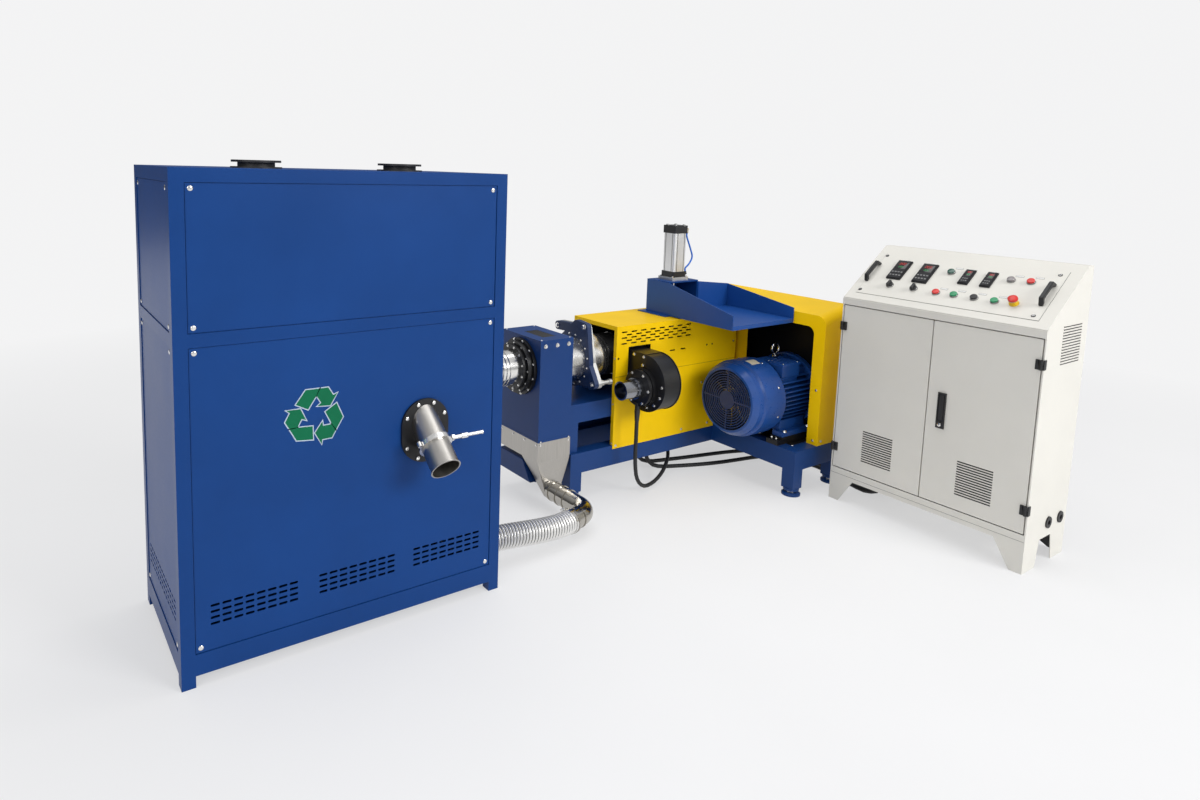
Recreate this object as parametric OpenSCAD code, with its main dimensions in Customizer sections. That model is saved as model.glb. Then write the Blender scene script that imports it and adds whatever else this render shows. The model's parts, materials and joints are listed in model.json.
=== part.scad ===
// Waterless pelletizing plant: pellet cabinet, pelletizer on its base frame, and control console.
// Millimetres, +Z up, the barrel runs along +X and the cabinet's front faces -Y.

/* [Pellet cabinet] */
// Width of the pellet cabinet
cab_w = 1220; // [900:10:1500]
// Depth of the pellet cabinet
cab_d = 648; // [500:2:900]
// Height of the pellet cabinet over its posts
cab_h = 1700; // [1500:10:2000]
// Side of the square tube of the posts and rails
cab_tube = 45; // [38:1:55]
// Clear height below the bottom rail
cab_leg = 40; // [25:1:80]
// Height of the bottom rail
cab_kick = 74; // [50:1:100]
// Height of the centre of the middle rail
cab_split = 1161; // [1100:1:1300]
// Thickness of the sheet panels
sheet = 3; // [2:0.5:5]
// Gap round a screwed panel
panel_gap = 2; // [1:0.5:4]
// Depth of a panel's face behind the face of the tube
panel_inset = 3; // [1:0.5:6]
// Length of a vent slot
slot_l = 30; // [20:1:34]
// Height of a vent slot
slot_h = 9; // [5:0.5:12]
// Pitch of the vent slots along a row
slot_pitch = 37.5; // [36:0.5:40]
// Pitch of the rows of vent slots
slot_row = 21; // [16:1:26]
// Height of the lowest row of vent slots
vent_z = 201; // [150:1:300]
// Outer radius of a duct port's flange
port_r = 84; // [75:1:100]
// Bore radius of a duct port
port_bore = 55; // [40:1:60]
// Height of a duct port over the top
port_h = 28; // [20:1:60]
// Distance between the two duct ports
port_span = 550; // [400:10:700]
// Distance of the duct ports from the cabinet's front
port_y = 260; // [200:10:400]

/* [Outlet] */
// Distance of the outlet from the cabinet's left side
outlet_x = 874; // [700:1:1000]
// Height of the outlet flange's centre
outlet_z = 736; // [650:1:850]
// Width of the outlet flange
outlet_fl_w = 194; // [180:1:260]
// Height of the outlet flange
outlet_fl_h = 244; // [230:1:320]
// Thickness of the outlet flange
outlet_fl_t = 10; // [6:1:16]
// Outer radius of the outlet pipe
outlet_r = 54; // [45:1:60]
// Wall of the outlet pipe
outlet_wall = 2; // [1.5:0.5:4]
// Length of the outlet pipe along its axis
outlet_l = 215; // [180:1:300]
// Fall of the outlet pipe in degrees
outlet_tilt = 38; // [30:1:42]

/* [Base frame] */
// Distance from the cabinet's right side to the left end of the base frame
frame_gap = 773; // [730:1:900]
// Distance of the base frame's front behind the cabinet's front
frame_y = 515; // [480:1:560]
// Length of the base frame
frame_l = 1495; // [1480:1:1600]
// Width of the main part of the base frame
frame_w = 360; // [350:1:420]
// Height of the base frame's top
frame_h = 252; // [230:1:300]
// Side of a square leg
leg = 75; // [60:1:90]
// Height of the base frame's beams
beam_h = 109; // [90:1:120]
// Reach of the beam under the cutter housing beyond the frame's left end
rail_reach = 205; // [190:1:215]
// Height of the top of that beam
rail_top = 200; // [185:1:210]
// Height of a levelling foot
foot_h = 40; // [30:1:60]
// Radius of a levelling foot
foot_r = 50; // [40:1:60]
// Width of the motor's part of the frame
ext_w = 426; // [400:1:480]
// Reach of the motor's part of the frame in front of the main part
ext_reach = 578; // [560:1:640]

/* [Barrel and cover] */
// Height of the barrel's axis
barrel_z = 714; // [705:1:730]
// Radius of the barrel
barrel_r = 95; // [80:1:100]
// Radius of the heater bands
heater_r = 115; // [110:1:120]
// Length of a heater band
heater_l = 150; // [120:1:180]
// Distance of the cover's left end from the frame's left end
cover_x = 281; // [270:1:300]
// Length of the yellow cover
cover_l = 946; // [930:1:960]
// Height of the cover's top
cover_top = 903; // [880:1:940]
// Overlap of the cover over the frame's top edge
cover_lap = 19; // [10:1:40]
// Sheet thickness of the covers
cover_t = 3; // [2:0.5:5]
// Width of the flange round the cover's open end
cover_flange = 22; // [15:1:24]

/* [Pelletizing head] */
// Length of the cutter housing along the barrel
cutter_l = 205; // [180:1:230]
// Width of the cutter housing
cutter_w = 344; // [320:1:360]
// Height of the cutter housing's underside
cutter_z = 350; // [330:1:380]
// Height of the cutter housing's top over the barrel's axis
cutter_up = 161; // [150:1:180]
// Outer radius of the cutter drive's flange
drive_r = 147; // [135:1:160]
// Radius of the cutter drive's motor
drive_motor_r = 92; // [80:1:100]
// Length of the cutter drive's motor
drive_motor_l = 190; // [150:1:230]
// Radius of the die head
die_r = 122; // [115:1:128]
// Length of the die head
die_l = 128; // [110:1:140]
// Thickness of the clamp plate
clamp_t = 28; // [20:1:34]
// Thickness of the hinge plate
hinge_plate_t = 22; // [16:1:30]
// Radius of the die head's rear disc
disc_r = 136; // [125:1:142]
// Thickness of the rear disc
disc_t = 67; // [50:1:80]
// Distance of the clamp's hinge pin in front of the barrel's axis
pin_out = 176; // [165:1:185]
// Distance of the clamp's hinge pin below the barrel's axis
pin_down = 104; // [95:1:112]
// Length of the clamp's hinge pin behind the plates
pin_l = 82; // [60:1:95]

/* [Chute and hose] */
// Height of the chute's straight band
chute_band = 105; // [80:1:130]
// Outer radius of the chute's pipe
pipe_r = 48; // [40:1:52]
// Height of the chute pipe's axis
pipe_z = 95; // [85:1:110]
// Depth of the chute's sloping hopper
hopper_d = 140; // [120:1:170]
// Bend radius of the elbow
elbow_r = 95; // [80:1:110]
// Turn of the elbow in degrees
elbow_turn = 75; // [60:1:90]
// Outer radius of the corrugated hose
hose_r = 55; // [50:1:58]
// Distance of the hose's inlet from the cabinet's front
hose_end_y = 172; // [160:1:200]
// Height of the hose's inlet
hose_end_z = 120; // [110:1:150]
// Side of the hose inlet's plate
inlet_plate = 164; // [150:2:180]
// Reach of the hose inlet beside the cabinet
inlet_l = 25; // [22:1:40]

/* [Blower] */
// Distance of the blower's face from the cover's left end
blower_x = 101; // [95:1:140]
// Width of the blower housing along the barrel
blower_t = 118; // [100:1:130]
// Outer radius of the blower housing's scroll
blower_r = 150; // [130:1:155]
// Height of the blower's axis
blower_z = 615; // [605:1:625]
// Reach of the blower's axis in front of the cover
blower_reach = 116; // [105:1:125]
// Radius of the blower's flange
blower_fl_r = 96; // [88:1:102]
// Drop of the flange's centre below the scroll's
blower_drop = 21; // [14:1:26]
// Radius of the blower's polished ring
blower_ring_r = 50; // [42:1:56]
// Length of the polished ring
blower_ring_l = 115; // [90:1:130]

/* [Feed tray and ram] */
// Distance of the tray's left wall from the cover's left end
tray_x = 466; // [450:1:490]
// Width of the tray
tray_w = 505; // [480:1:508]
// Reach of the tray in front of the cover
tray_reach = 374; // [320:1:400]
// Sheet thickness of the tray
tray_t = 5; // [4:1:8]
// Width of the feed box along the barrel
feed_w = 240; // [220:1:260]
// Depth of the feed box
feed_d = 170; // [160:1:180]
// Wall of the feed box
feed_t = 8; // [6:1:10]
// Height of the feed box's top over the cover
feed_up = 197; // [180:1:220]
// Side of the ram cylinder
ram_side = 96; // [90:1:110]
// Height of the ram cylinder with its end caps
ram_h = 300; // [280:1:330]
// Radius of the ram's rod
ram_rod_r = 12.5; // [10:0.5:16]
// Thickness of the ram's plunger
ram_plunger_t = 35; // [25:1:45]
// Depth of the plunger's face below the feed box's top
plunger_drop = 145; // [138:1:150]
// Stroke of the ram from rest down
ram_down = 70; // [50:1:75]

/* [Motor] */
// Distance of the motor's axis behind the extension's front
motor_y = 313; // [300:1:330]
// Height of the motor's axis over its base
motor_up = 200; // [195:1:210]
// Height of the motor's base over the frame
motor_base_h = 38; // [30:1:50]
// Radius of the motor's fan cover
fan_cover_r = 212; // [205:1:215]
// Length of the fan cover
fan_cover_l = 211; // [190:1:230]
// Distance of the fan cover's face in front of the extension's left side
fan_cover_x = 206; // [190:1:230]
// Radius over the motor's fins
fin_r = 196; // [185:1:200]
// Radius of the motor's frame below its fins
stator_r = 160; // [150:1:170]
// Length of the finned body
stator_l = 330; // [300:1:345]
// Radius of the fan cover's grille
grille_r = 167; // [150:1:175]
// Number of fan blades
fan_blades = 9; // [7:1:12]

/* [Drive guard] */
// Distance of the guard's left side behind the extension's left side
guard_x = 188; // [180:1:210]
// Length of the guard along the barrel
guard_l = 238; // [230:1:300]
// Height of the guard's left edge
guard_low = 972; // [950:1:1000]
// Height of the guard's right edge
guard_high = 1020; // [980:1:1040]
// Radius of the guard's top edges
guard_r = 55; // [30:1:70]
// Margin beside the guard's opening
guard_margin = 68; // [50:1:90]

/* [Control console] */
// Distance of the console's front beyond the base frame's left end
con_x_gap = 1257; // [1240:1:1400]
// Distance of the console's left side in front of the extension
con_gap = 93; // [80:1:200]
// Width of the console
con_w = 961; // [900:1:1100]
// Depth of the console
con_d = 405; // [390:1:450]
// Height of the console's front edge
con_front = 1100; // [1050:1:1150]
// Height of the console's top
con_top = 1358; // [1300:1:1400]
// Depth of the sloped face
con_slope = 356; // [340:1:370]
// Sheet thickness of the console's sides
con_t = 6; // [4:1:8]
// Height of the underside of the console's body
con_floor = 125; // [110:1:150]
// Height of the lowest louvre of the doors
louvre_low = 254; // [230:1:300]
// Height of the lowest louvre of the side
louvre_side = 925; // [860:1:940]
// Height of the doors' lower edge
door_low = 183; // [170:1:200]
// Height of the doors' upper edge
door_high = 1057; // [1020:1:1065]
// Thickness of a door
door_t = 18; // [14:1:24]
// Gap round the doors
door_gap = 5; // [5:0.5:8]
// Height of a hinge
hinge_h = 44; // [36:1:60]
// Radius of a hinge's knuckle
hinge_r = 7; // [6:0.5:9]
// Number of louvres in a vent
louvres = 14; // [8:1:16]

/* [Hidden] */

// Running gap of a shaft, rod or pin in its bore
run = 0.3;
// Overlap of pieces that are fused in one node
weld = 1;

// Base frame and extension, in the plan of the pellet cabinet's front left corner
fx = cab_w + frame_gap;
fy = frame_y;
ex = fx + frame_l - ext_w;
ey = fy - ext_reach;
axis_y = fy + frame_w / 2;
frame_r = fx + frame_l;

// Cover, guard and console
vx = fx + cover_x;
vy = fy - cover_t;
vd = frame_w + 2 * cover_t;
gx = ex + guard_x;
gy = ey;
gd = fy + frame_w + 20 - gy;
cx = fx + con_x_gap;
cy = ey - con_gap;
slope_a = atan2(con_top - con_front, con_slope);

// The whole part's box: its bottom centre is the origin
gland_proud = 6;
x_max = max(cx + con_d, gx + guard_l);
y_min = cy - con_w - gland_proud;
y_max = max(cab_d, gy + gd);

module at_plan() {
  translate([-x_max / 2, -(y_min + y_max) / 2, 0]) children();
}

// ---------- Pellet cabinet ----------

// A side of the cabinet in its own frame: x along the side, y inwards, z up
module cab_side(i) {
  if (i == 0) children();
  if (i == 1) translate([cab_w, 0, 0]) rotate([0, 0, 90]) children();
  if (i == 2) translate([cab_w, cab_d, 0]) rotate([0, 0, 180]) children();
  if (i == 3) translate([0, cab_d, 0]) rotate([0, 0, -90]) children();
}

function side_len(i) = i % 2 == 0 ? cab_w : cab_d;
low_z0 = cab_leg + cab_kick;
low_z1 = cab_split - cab_tube / 2;
up_z0 = cab_split + cab_tube / 2;
up_z1 = cab_h - cab_tube;
vent_cols = 8;
vent_rows = 4;
vent_w = (vent_cols - 1) * slot_pitch + slot_l;
seat_w = 14;

module ring_rail(z, h) {
  translate([0, 0, z])
    difference() {
      cube([cab_w, cab_d, h]);
      translate([cab_tube, cab_tube, -1])
        cube([cab_w - 2 * cab_tube, cab_d - 2 * cab_tube, h + 2]);
    }
}

// Lip behind a panel, which the panel's screws go into
module panel_seat(len, z0, z1) {
  translate([0, panel_inset + sheet, 0])
    difference() {
      translate([cab_tube - weld, 0, z0 - weld])
        cube([len - 2 * cab_tube + 2 * weld, sheet, z1 - z0 + 2 * weld]);
      translate([cab_tube + seat_w, -1, z0 + seat_w])
        cube([len - 2 * cab_tube - 2 * seat_w, sheet + 2, z1 - z0 - 2 * seat_w]);
    }
}

module panel(len, z0, z1) {
  translate([cab_tube + panel_gap, panel_inset, z0 + panel_gap])
    cube([len - 2 * (cab_tube + panel_gap), sheet, z1 - z0 - 2 * panel_gap]);
}

module cabinet_frame() {
  color("#1f4aa0") at_plan() {
    for (x = [0, cab_w - cab_tube], y = [0, cab_d - cab_tube])
      translate([x, y, 0]) cube([cab_tube, cab_tube, cab_h]);
    ring_rail(cab_leg, cab_kick);
    ring_rail(cab_split - cab_tube / 2, cab_tube);
    ring_rail(cab_h - cab_tube, cab_tube);
    for (i = [0:3]) cab_side(i) {
      panel_seat(side_len(i), low_z0, low_z1);
      panel_seat(side_len(i), up_z0, up_z1);
    }
  }
}

module slot_hole() {
  translate([slot_h / 2, -1, 0]) {
    translate([0, 0, -slot_h / 2]) cube([slot_l - slot_h, sheet + 2 * panel_inset + 2, slot_h]);
    for (x = [0, slot_l - slot_h])
      translate([x, 0, 0]) rotate([-90, 0, 0])
        cylinder(r = slot_h / 2, h = sheet + 2 * panel_inset + 2, $fn = 24);
  }
}

module vent(x, cols) {
  for (c = [0:cols - 1], r = [0:vent_rows - 1])
    translate([x + c * slot_pitch, 0, vent_z + slot_h / 2 + r * slot_row]) slot_hole();
}

module front_panels() {
  color("#2450a8") at_plan() {
    difference() {
      panel(cab_w, low_z0, low_z1);
      for (k = [0:2])
        vent(cab_tube + 50 + k * (cab_w - 2 * cab_tube - 100 - vent_w) / 2, vent_cols);
      outlet_axis() translate([0, 0, -200]) cylinder(r = outlet_r - outlet_wall, h = 300, $fn = 64);
    }
    panel(cab_w, up_z0, up_z1);
  }
}

side_cols = 13;
module side_and_back_panels() {
  color("#2450a8") at_plan() {
    for (i = [1:3]) cab_side(i) {
      difference() {
        panel(side_len(i), low_z0, low_z1);
        if (i != 2)
          vent((side_len(i) - (side_cols - 1) * slot_pitch - slot_l) / 2, side_cols);
        if (i == 1)
          translate([hose_end_y, -1, hose_end_z]) rotate([-90, 0, 0])
            cylinder(r = hose_r - 6, h = 12, $fn = 48);
      }
      panel(side_len(i), up_z0, up_z1);
    }
    difference() {
      translate([cab_tube, cab_tube, cab_h - sheet])
        cube([cab_w - 2 * cab_tube, cab_d - 2 * cab_tube, sheet]);
      for (s = [-1, 1])
        translate([cab_w / 2 + s * port_span / 2, port_y, cab_h - 10])
          cylinder(r = port_bore, h = 20, $fn = 64);
    }
  }
}

port_flange_t = 8;
port_pcd = 2 * (port_r - 9);
port_bolts = 8;
module duct_ports() {
  color("#20242a") at_plan()
    for (s = [-1, 1]) translate([cab_w / 2 + s * port_span / 2, port_y, cab_h])
      difference() {
        union() {
          cylinder(r = port_r + 3, h = 5, $fn = 64);
          cylinder(r = port_bore + 8, h = port_h, $fn = 64);
          translate([0, 0, port_h - port_flange_t]) cylinder(r = port_r, h = port_flange_t, $fn = 64);
        }
        translate([0, 0, -1]) cylinder(r = port_bore, h = port_h + 2, $fn = 64);
        for (k = [0:port_bolts - 1]) rotate([0, 0, (k + 0.5) * 360 / port_bolts])
          translate([port_pcd / 2, 0, port_h - port_flange_t - 1])
            cylinder(r = 4.5, h = port_flange_t + 2, $fn = 24);
      }
}

// ---------- Outlet ----------

// Frame of the outlet pipe: +Z runs down the pipe from the cabinet's face
outlet_rise = 36;
module outlet_axis() {
  translate([outlet_x, 0, outlet_z + outlet_rise]) rotate([90 + outlet_tilt, 0, 0]) children();
}

outlet_face = panel_inset;
module outlet_flange() {
  straight = outlet_fl_h - outlet_fl_w;
  color("#202020") at_plan()
    difference() {
      translate([outlet_x, outlet_face, outlet_z]) rotate([90, 0, 0]) {
        for (s = [-1, 1]) translate([0, s * straight / 2, 0])
          cylinder(r = outlet_fl_w / 2, h = outlet_fl_t, $fn = 72);
        translate([-outlet_fl_w / 2, -straight / 2, 0]) cube([outlet_fl_w, straight, outlet_fl_t]);
      }
      outlet_axis() translate([0, 0, -200]) cylinder(r = outlet_r, h = 400, $fn = 72);
    }
}

module outlet_pipe() {
  color("#c8c8c4") at_plan()
    difference() {
      outlet_axis() difference() {
        union() {
          translate([0, 0, -80]) cylinder(r = outlet_r, h = outlet_l + 80, $fn = 72);
          translate([0, 0, outlet_l - 3]) cylinder(r = outlet_r + 3, h = 3, $fn = 72);
          for (s = [-1, 1]) translate([0, 0, outlet_l / 2 + s * 5 - 2])
            cylinder(r = outlet_r + 6, h = 4, $fn = 72);
        }
        translate([0, 0, -81]) cylinder(r = outlet_r - outlet_wall, h = outlet_l + 82, $fn = 72);
      }
      translate([outlet_x - 200, outlet_face, outlet_z - 300]) cube([400, 300, 600]);
    }
}

// Ring clamp over the pipe's joint, with its hinge on the left and its lever on the right
clamp_ring_r = outlet_r + 10;
module outlet_clamp() {
  color("#d0cec8") at_plan() outlet_axis() translate([0, 0, outlet_l / 2]) {
    difference() {
      translate([0, 0, -9]) cylinder(r = clamp_ring_r, h = 18, $fn = 72);
      translate([0, 0, -10]) cylinder(r = outlet_r + run, h = 20, $fn = 72);
      translate([0, 0, -7 - run]) cylinder(r = outlet_r + 6 + run, h = 14 + 2 * run, $fn = 72);
    }
    translate([-clamp_ring_r - 6, 18, -9]) cylinder(r = 8, h = 18, $fn = 32);
    translate([-clamp_ring_r - 2, 0, -7]) cube([4, 18, 14]);
    translate([clamp_ring_r - 3, 12, -7]) cube([11, 20, 14]);
    translate([clamp_ring_r - 4, 24, 0]) rotate([0, 90, 0]) {
      cylinder(r = 8, h = 62, $fn = 32);
      translate([0, 0, 40]) cylinder(r = 11, h = 26, $fn = 32);
      translate([0, 0, 60]) cylinder(r = 6.5, h = 72, $fn = 32);
      translate([0, 0, 128]) cylinder(r = 8, h = 6, $fn = 32);
    }
  }
}

// ---------- Sweeps for the cords ----------

function vsub(a, b) = [a[0] - b[0], a[1] - b[1], a[2] - b[2]];
function unit(v) = v / norm(v);
// Catmull-Rom point on segment i of route p at t
function rail_pt(p, i, t) =
  let (n = len(p) - 1, a = p[max(i - 1, 0)], b = p[i], c = p[min(i + 1, n)], d = p[min(i + 2, n)])
  0.5 * ((2 * b) + (c - a) * t + (2 * a - 5 * b + 4 * c - d) * t * t
    + (3 * b - a - 3 * c + d) * t * t * t);
function smooth(p, m) = [
  for (i = [0:len(p) - 2], k = [0:m - 1]) rail_pt(p, i, k / m), p[len(p) - 1]];
function tangent(q, i, d) = i == 0 ? d[0] : i == len(q) - 1 ? d[1] : unit(vsub(q[i + 1], q[i - 1]));
function ring(q, i, r, sides, ref, d) =
  let (t = tangent(q, i, d), a = unit(cross(t, ref)), b = cross(t, a))
  [for (k = [0:sides - 1]) q[i] + r * (cos(360 * k / sides) * a + sin(360 * k / sides) * b)];

// Tube along the points q, whose end faces are square to the two directions d
module tube(q, r, sides, ref, d) {
  n = len(q);
  pts = [for (i = [0:n - 1]) each ring(q, i, r, sides, ref, d)];
  walls = [for (i = [0:n - 2], k = [0:sides - 1]) let (a = i * sides + k,
      b = i * sides + (k + 1) % sides) each [[a, b, b + sides], [a, b + sides, a + sides]]];
  ends = [[for (k = [sides - 1:-1:0]) k], [for (k = [0:sides - 1]) (n - 1) * sides + k]];
  polyhedron(points = pts, faces = concat(walls, ends), convexity = 8);
}

// Cord along a route, which leaves its glands along the route's first and last stretch
module cord(route, m, r, ref) {
  n = len(route) - 1;
  tube(smooth(route, m), r, 8, ref, [unit(vsub(route[1], route[0])), unit(vsub(route[n], route[n - 1]))]);
}

// ---------- Base frame ----------

module beam(x, y, l, w) {
  translate([x, y, frame_h - beam_h]) cube([l, w, beam_h]);
}

module foot(x, y) {
  translate([x + leg / 2, y + leg / 2, 0]) rotate_extrude($fn = 48)
    polygon([[0, 0], [foot_r, 0], [foot_r, 10], [foot_r - 12, 18], [16, 18], [16, foot_h - 12],
      [foot_r - 8, foot_h - 12], [foot_r - 8, foot_h], [0, foot_h]]);
}

// The beam under the cutter housing starts behind the chute's hopper
rail_y = axis_y - cutter_w / 2 + hopper_d - 20;
legs_at = [[fx, fy], [fx, fy + frame_w - leg], [frame_r - leg, fy + frame_w - leg], [ex, ey],
  [frame_r - leg, ey]];
module base_frame() {
  color("#1f4a9c") at_plan() {
    beam(fx, fy, frame_l, leg);
    beam(fx, fy + frame_w - leg, frame_l, leg);
    for (x = [fx, ex, frame_r - leg]) beam(x, fy, leg, frame_w);
    for (x = [ex, frame_r - leg]) beam(x, ey, leg, ext_reach + weld);
    beam(ex, ey, ext_w, leg);
    translate([ex + leg - weld, fy - motor_pad_y, frame_h - 12])
      cube([ext_w - 2 * leg + 2 * weld, motor_pad_y + weld, 12]);
    // square beam under the cutter housing, and the two arms that carry it
    translate([fx - rail_reach, rail_y, rail_top - leg]) cube([leg, fy + frame_w - rail_y, leg]);
    for (y = [rail_y + 15, fy + frame_w - leg])
      translate([fx - rail_reach + leg - weld, y, rail_top - leg])
        cube([rail_reach - leg + 2 * weld, leg, leg]);
    for (p = legs_at) {
      translate([p[0], p[1], foot_h]) cube([leg, leg, frame_h - foot_h]);
      foot(p[0], p[1]);
    }
  }
}
motor_pad_y = 120;

// ---------- Support table under the barrel ----------

table_z = 510;
table_post = 50;
table_in = 22;
table_x = fx + 8;
table_r = vx + cover_l - 90;
saddle_t = 60;
module support_table() {
  d = frame_w - 2 * table_in;
  color("#1b3f86") at_plan() {
    for (x = [table_x, table_r - table_post], y = [fy + table_in, fy + table_in + d - table_post])
      translate([x, y, frame_h]) cube([table_post, table_post, table_z - frame_h]);
    for (y = [fy + table_in, fy + table_in + d - table_post])
      translate([table_x, y, table_z - 100]) cube([table_r - table_x, table_post, 90]);
    translate([table_x, fy + table_in, table_z - 10]) cube([table_r - table_x, d, 10]);
    translate([table_x + table_post - weld, fy + table_in + d - 12, frame_h])
      cube([table_r - table_x - 2 * table_post + 2 * weld, 8, table_z - frame_h - 5]);
    // saddles that carry the barrel between its heater bands
    for (x = saddle_at) difference() {
      translate([x, axis_y - 110, table_z - weld]) cube([saddle_t, 220, barrel_z - table_z - 20]);
      translate([x - 1, axis_y, barrel_z]) rotate([0, 90, 0])
        cylinder(r = barrel_r, h = saddle_t + 2, $fn = 64);
    }
  }
}

// ---------- Pelletizing head ----------

cut_x = fx - 3 - cutter_l;
cut_y = axis_y - cutter_w / 2;
cut_top = barrel_z + cutter_up;
module along_x(x, y, z) {
  translate([x, y, z]) rotate([0, 90, 0]) children();
}

module cutter_housing() {
  color("#1f4a9c") at_plan()
    difference() {
      union() {
        translate([cut_x, cut_y, cutter_z]) cube([cutter_l, cutter_w, cut_top - cutter_z]);
        // bolting flange over the chute
        translate([cut_x - 0.8, cut_y - 0.8, cutter_z]) cube([cutter_l + 0.8, cutter_w + 1.6, 10]);
      }
      // shallow recess of the lid's sight plate
      translate([cut_x + 62, cut_y + 70, cut_top - 3]) cube([82, 170, 4]);
    }
}

module cutter_flange() {
  color("#1a1a1c") at_plan() along_x(cut_x - 62, axis_y, barrel_z)
    difference() {
      union() {
        translate([0, 0, 44]) cylinder(r = drive_r, h = 18, $fn = 96);
        translate([0, 0, 18]) cylinder(r = drive_r - 14, h = 27, $fn = 96);
        cylinder(r = drive_r - 30, h = 19, $fn = 96);
      }
      for (k = [0:11]) rotate([0, 0, k * 30]) translate([drive_r - 7.5, 0, 50])
        cylinder(r = 3.4, h = 13, $fn = 20);
      for (k = [0:11]) rotate([0, 0, k * 30 + 15]) translate([drive_r - 39, 0, -1])
        cylinder(r = 4, h = 10, $fn = 20);
    }
}

module cutter_motor() {
  color("#d8d8d6") at_plan() along_x(cut_x - 62 - drive_motor_l, axis_y, barrel_z) {
    difference() {
      union() {
        translate([0, 0, 24]) cylinder(r = drive_motor_r, h = drive_motor_l - 24, $fn = 72);
        cylinder(r = drive_motor_r - 8, h = 25, $fn = 72);
      }
      for (k = [0:4]) translate([0, 0, 44 + k * 20])
        difference() {
          cylinder(r = drive_motor_r + 1, h = 8, $fn = 72);
          translate([0, 0, -1]) cylinder(r = drive_motor_r - 5, h = 10, $fn = 72);
        }
    }
  }
}

die_x = fx - 3;
clamp_x = die_x + die_l;
hinge_x = clamp_x + clamp_t;
disc_x = hinge_x + hinge_plate_t;
module die_head() {
  color("#d4d4d0") at_plan() {
    along_x(die_x, axis_y, barrel_z) {
      cylinder(r = die_r, h = die_l, $fn = 96);
    }
    along_x(disc_x, axis_y, barrel_z) {
      cylinder(r = disc_r, h = disc_t - 9, $fn = 96);
      translate([0, 0, disc_t - 10]) cylinder(r = disc_r - 10, h = 10, $fn = 96);
    }
  }
}

// Lobed outline of the swing clamp, across the barrel: top bar, ring and hinge lobe
module lobes(r_mid, corner) {
  translate([axis_y, barrel_z]) {
    hull() for (p = [[134, 158], [30, 164]]) translate(p) circle(r = 24, $fn = 32);
    hull() {
      translate([-27, corner[1] + 4]) circle(r = 24, $fn = 32);
      translate(corner) circle(r = 22, $fn = 32);
      circle(r = r_mid, $fn = 96);
    }
    hull() {
      translate([-pin_out, -pin_down]) circle(r = 26, $fn = 32);
      translate([-pin_out / 2, -pin_down]) circle(r = 28, $fn = 32);
      translate([-50, -20]) circle(r = 90, $fn = 64);
    }
  }
}

module clamp_plate() {
  color("#1b2f66") at_plan() translate([clamp_x, 0, 0]) rotate([90, 0, 90])
    linear_extrude(height = clamp_t) lobes(die_r + 28, [-101, 186]);
}

module hinge_plate() {
  color("#cfcfca") at_plan() {
    translate([hinge_x, 0, 0]) rotate([90, 0, 90])
      linear_extrude(height = hinge_plate_t) lobes(disc_r + 7, [-78, 178]);
    // pin that the clamp swings on
    along_x(disc_x - weld, axis_y - pin_out, barrel_z - pin_down) {
      cylinder(r = 15, h = 26 + weld, $fn = 40);
      cylinder(r = 10, h = pin_l, $fn = 40);
      translate([0, 0, pin_l - 16]) cylinder(r = 15, h = 16, $fn = 40);
    }
  }
}

// ---------- Chute and elbow ----------

pipe_x = cut_x + 85;
pipe_from = cut_y - 18;
pipe_to = 285;
module discharge_chute() {
  color("#b9b6ae") at_plan() {
    translate([cut_x, cut_y, cutter_z - chute_band]) cube([cutter_l, cutter_w, chute_band]);
    hull() {
      translate([cut_x, cut_y, cutter_z - chute_band]) cube([cutter_l, hopper_d, 1]);
      translate([pipe_x, cut_y, pipe_z]) rotate([90, 0, 0]) cylinder(r = pipe_r, h = 18, $fn = 40);
    }
  }
}

module elbow_end() {
  translate([pipe_x - elbow_r, pipe_to, pipe_z]) rotate([0, 0, -elbow_turn])
    translate([elbow_r, 0, 0]) rotate([90, 0, 0]) children();
}
elbow_stub = 75;
module chute_elbow() {
  color("#a9a69e") at_plan() {
    translate([pipe_x, pipe_from, pipe_z]) rotate([90, 0, 0]) {
      cylinder(r = pipe_r, h = pipe_from - pipe_to, $fn = 64);
      for (z = [20, 78, 136]) translate([0, 0, z]) cylinder(r = pipe_r + 4, h = 6, $fn = 64);
    }
    translate([pipe_x - elbow_r, pipe_to, pipe_z]) rotate([0, 0, -elbow_turn])
      rotate_extrude(angle = elbow_turn, $fn = 96) translate([elbow_r, 0]) circle(r = pipe_r, $fn = 64);
    elbow_end() {
      cylinder(r = pipe_r, h = elbow_stub, $fn = 64);
      translate([0, 0, 8]) cylinder(r = pipe_r + 4, h = 6, $fn = 64);
      translate([0, 0, elbow_stub - 12]) cylinder(r = hose_r + 4, h = 12, $fn = 64);
    }
  }
}

module hose_inlet() {
  color("#2450a8") at_plan() {
    translate([cab_w, hose_end_y - inlet_plate / 2, hose_end_z - 80]) cube([4, inlet_plate, 160]);
    along_x(cab_w + 4 - weld, hose_end_y, hose_end_z) cylinder(r = hose_r, h = inlet_l - 4 + weld, $fn = 64);
    along_x(cab_w + inlet_l - 14, hose_end_y, hose_end_z) cylinder(r = hose_r + 4, h = 14, $fn = 64);
  }
}

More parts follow.
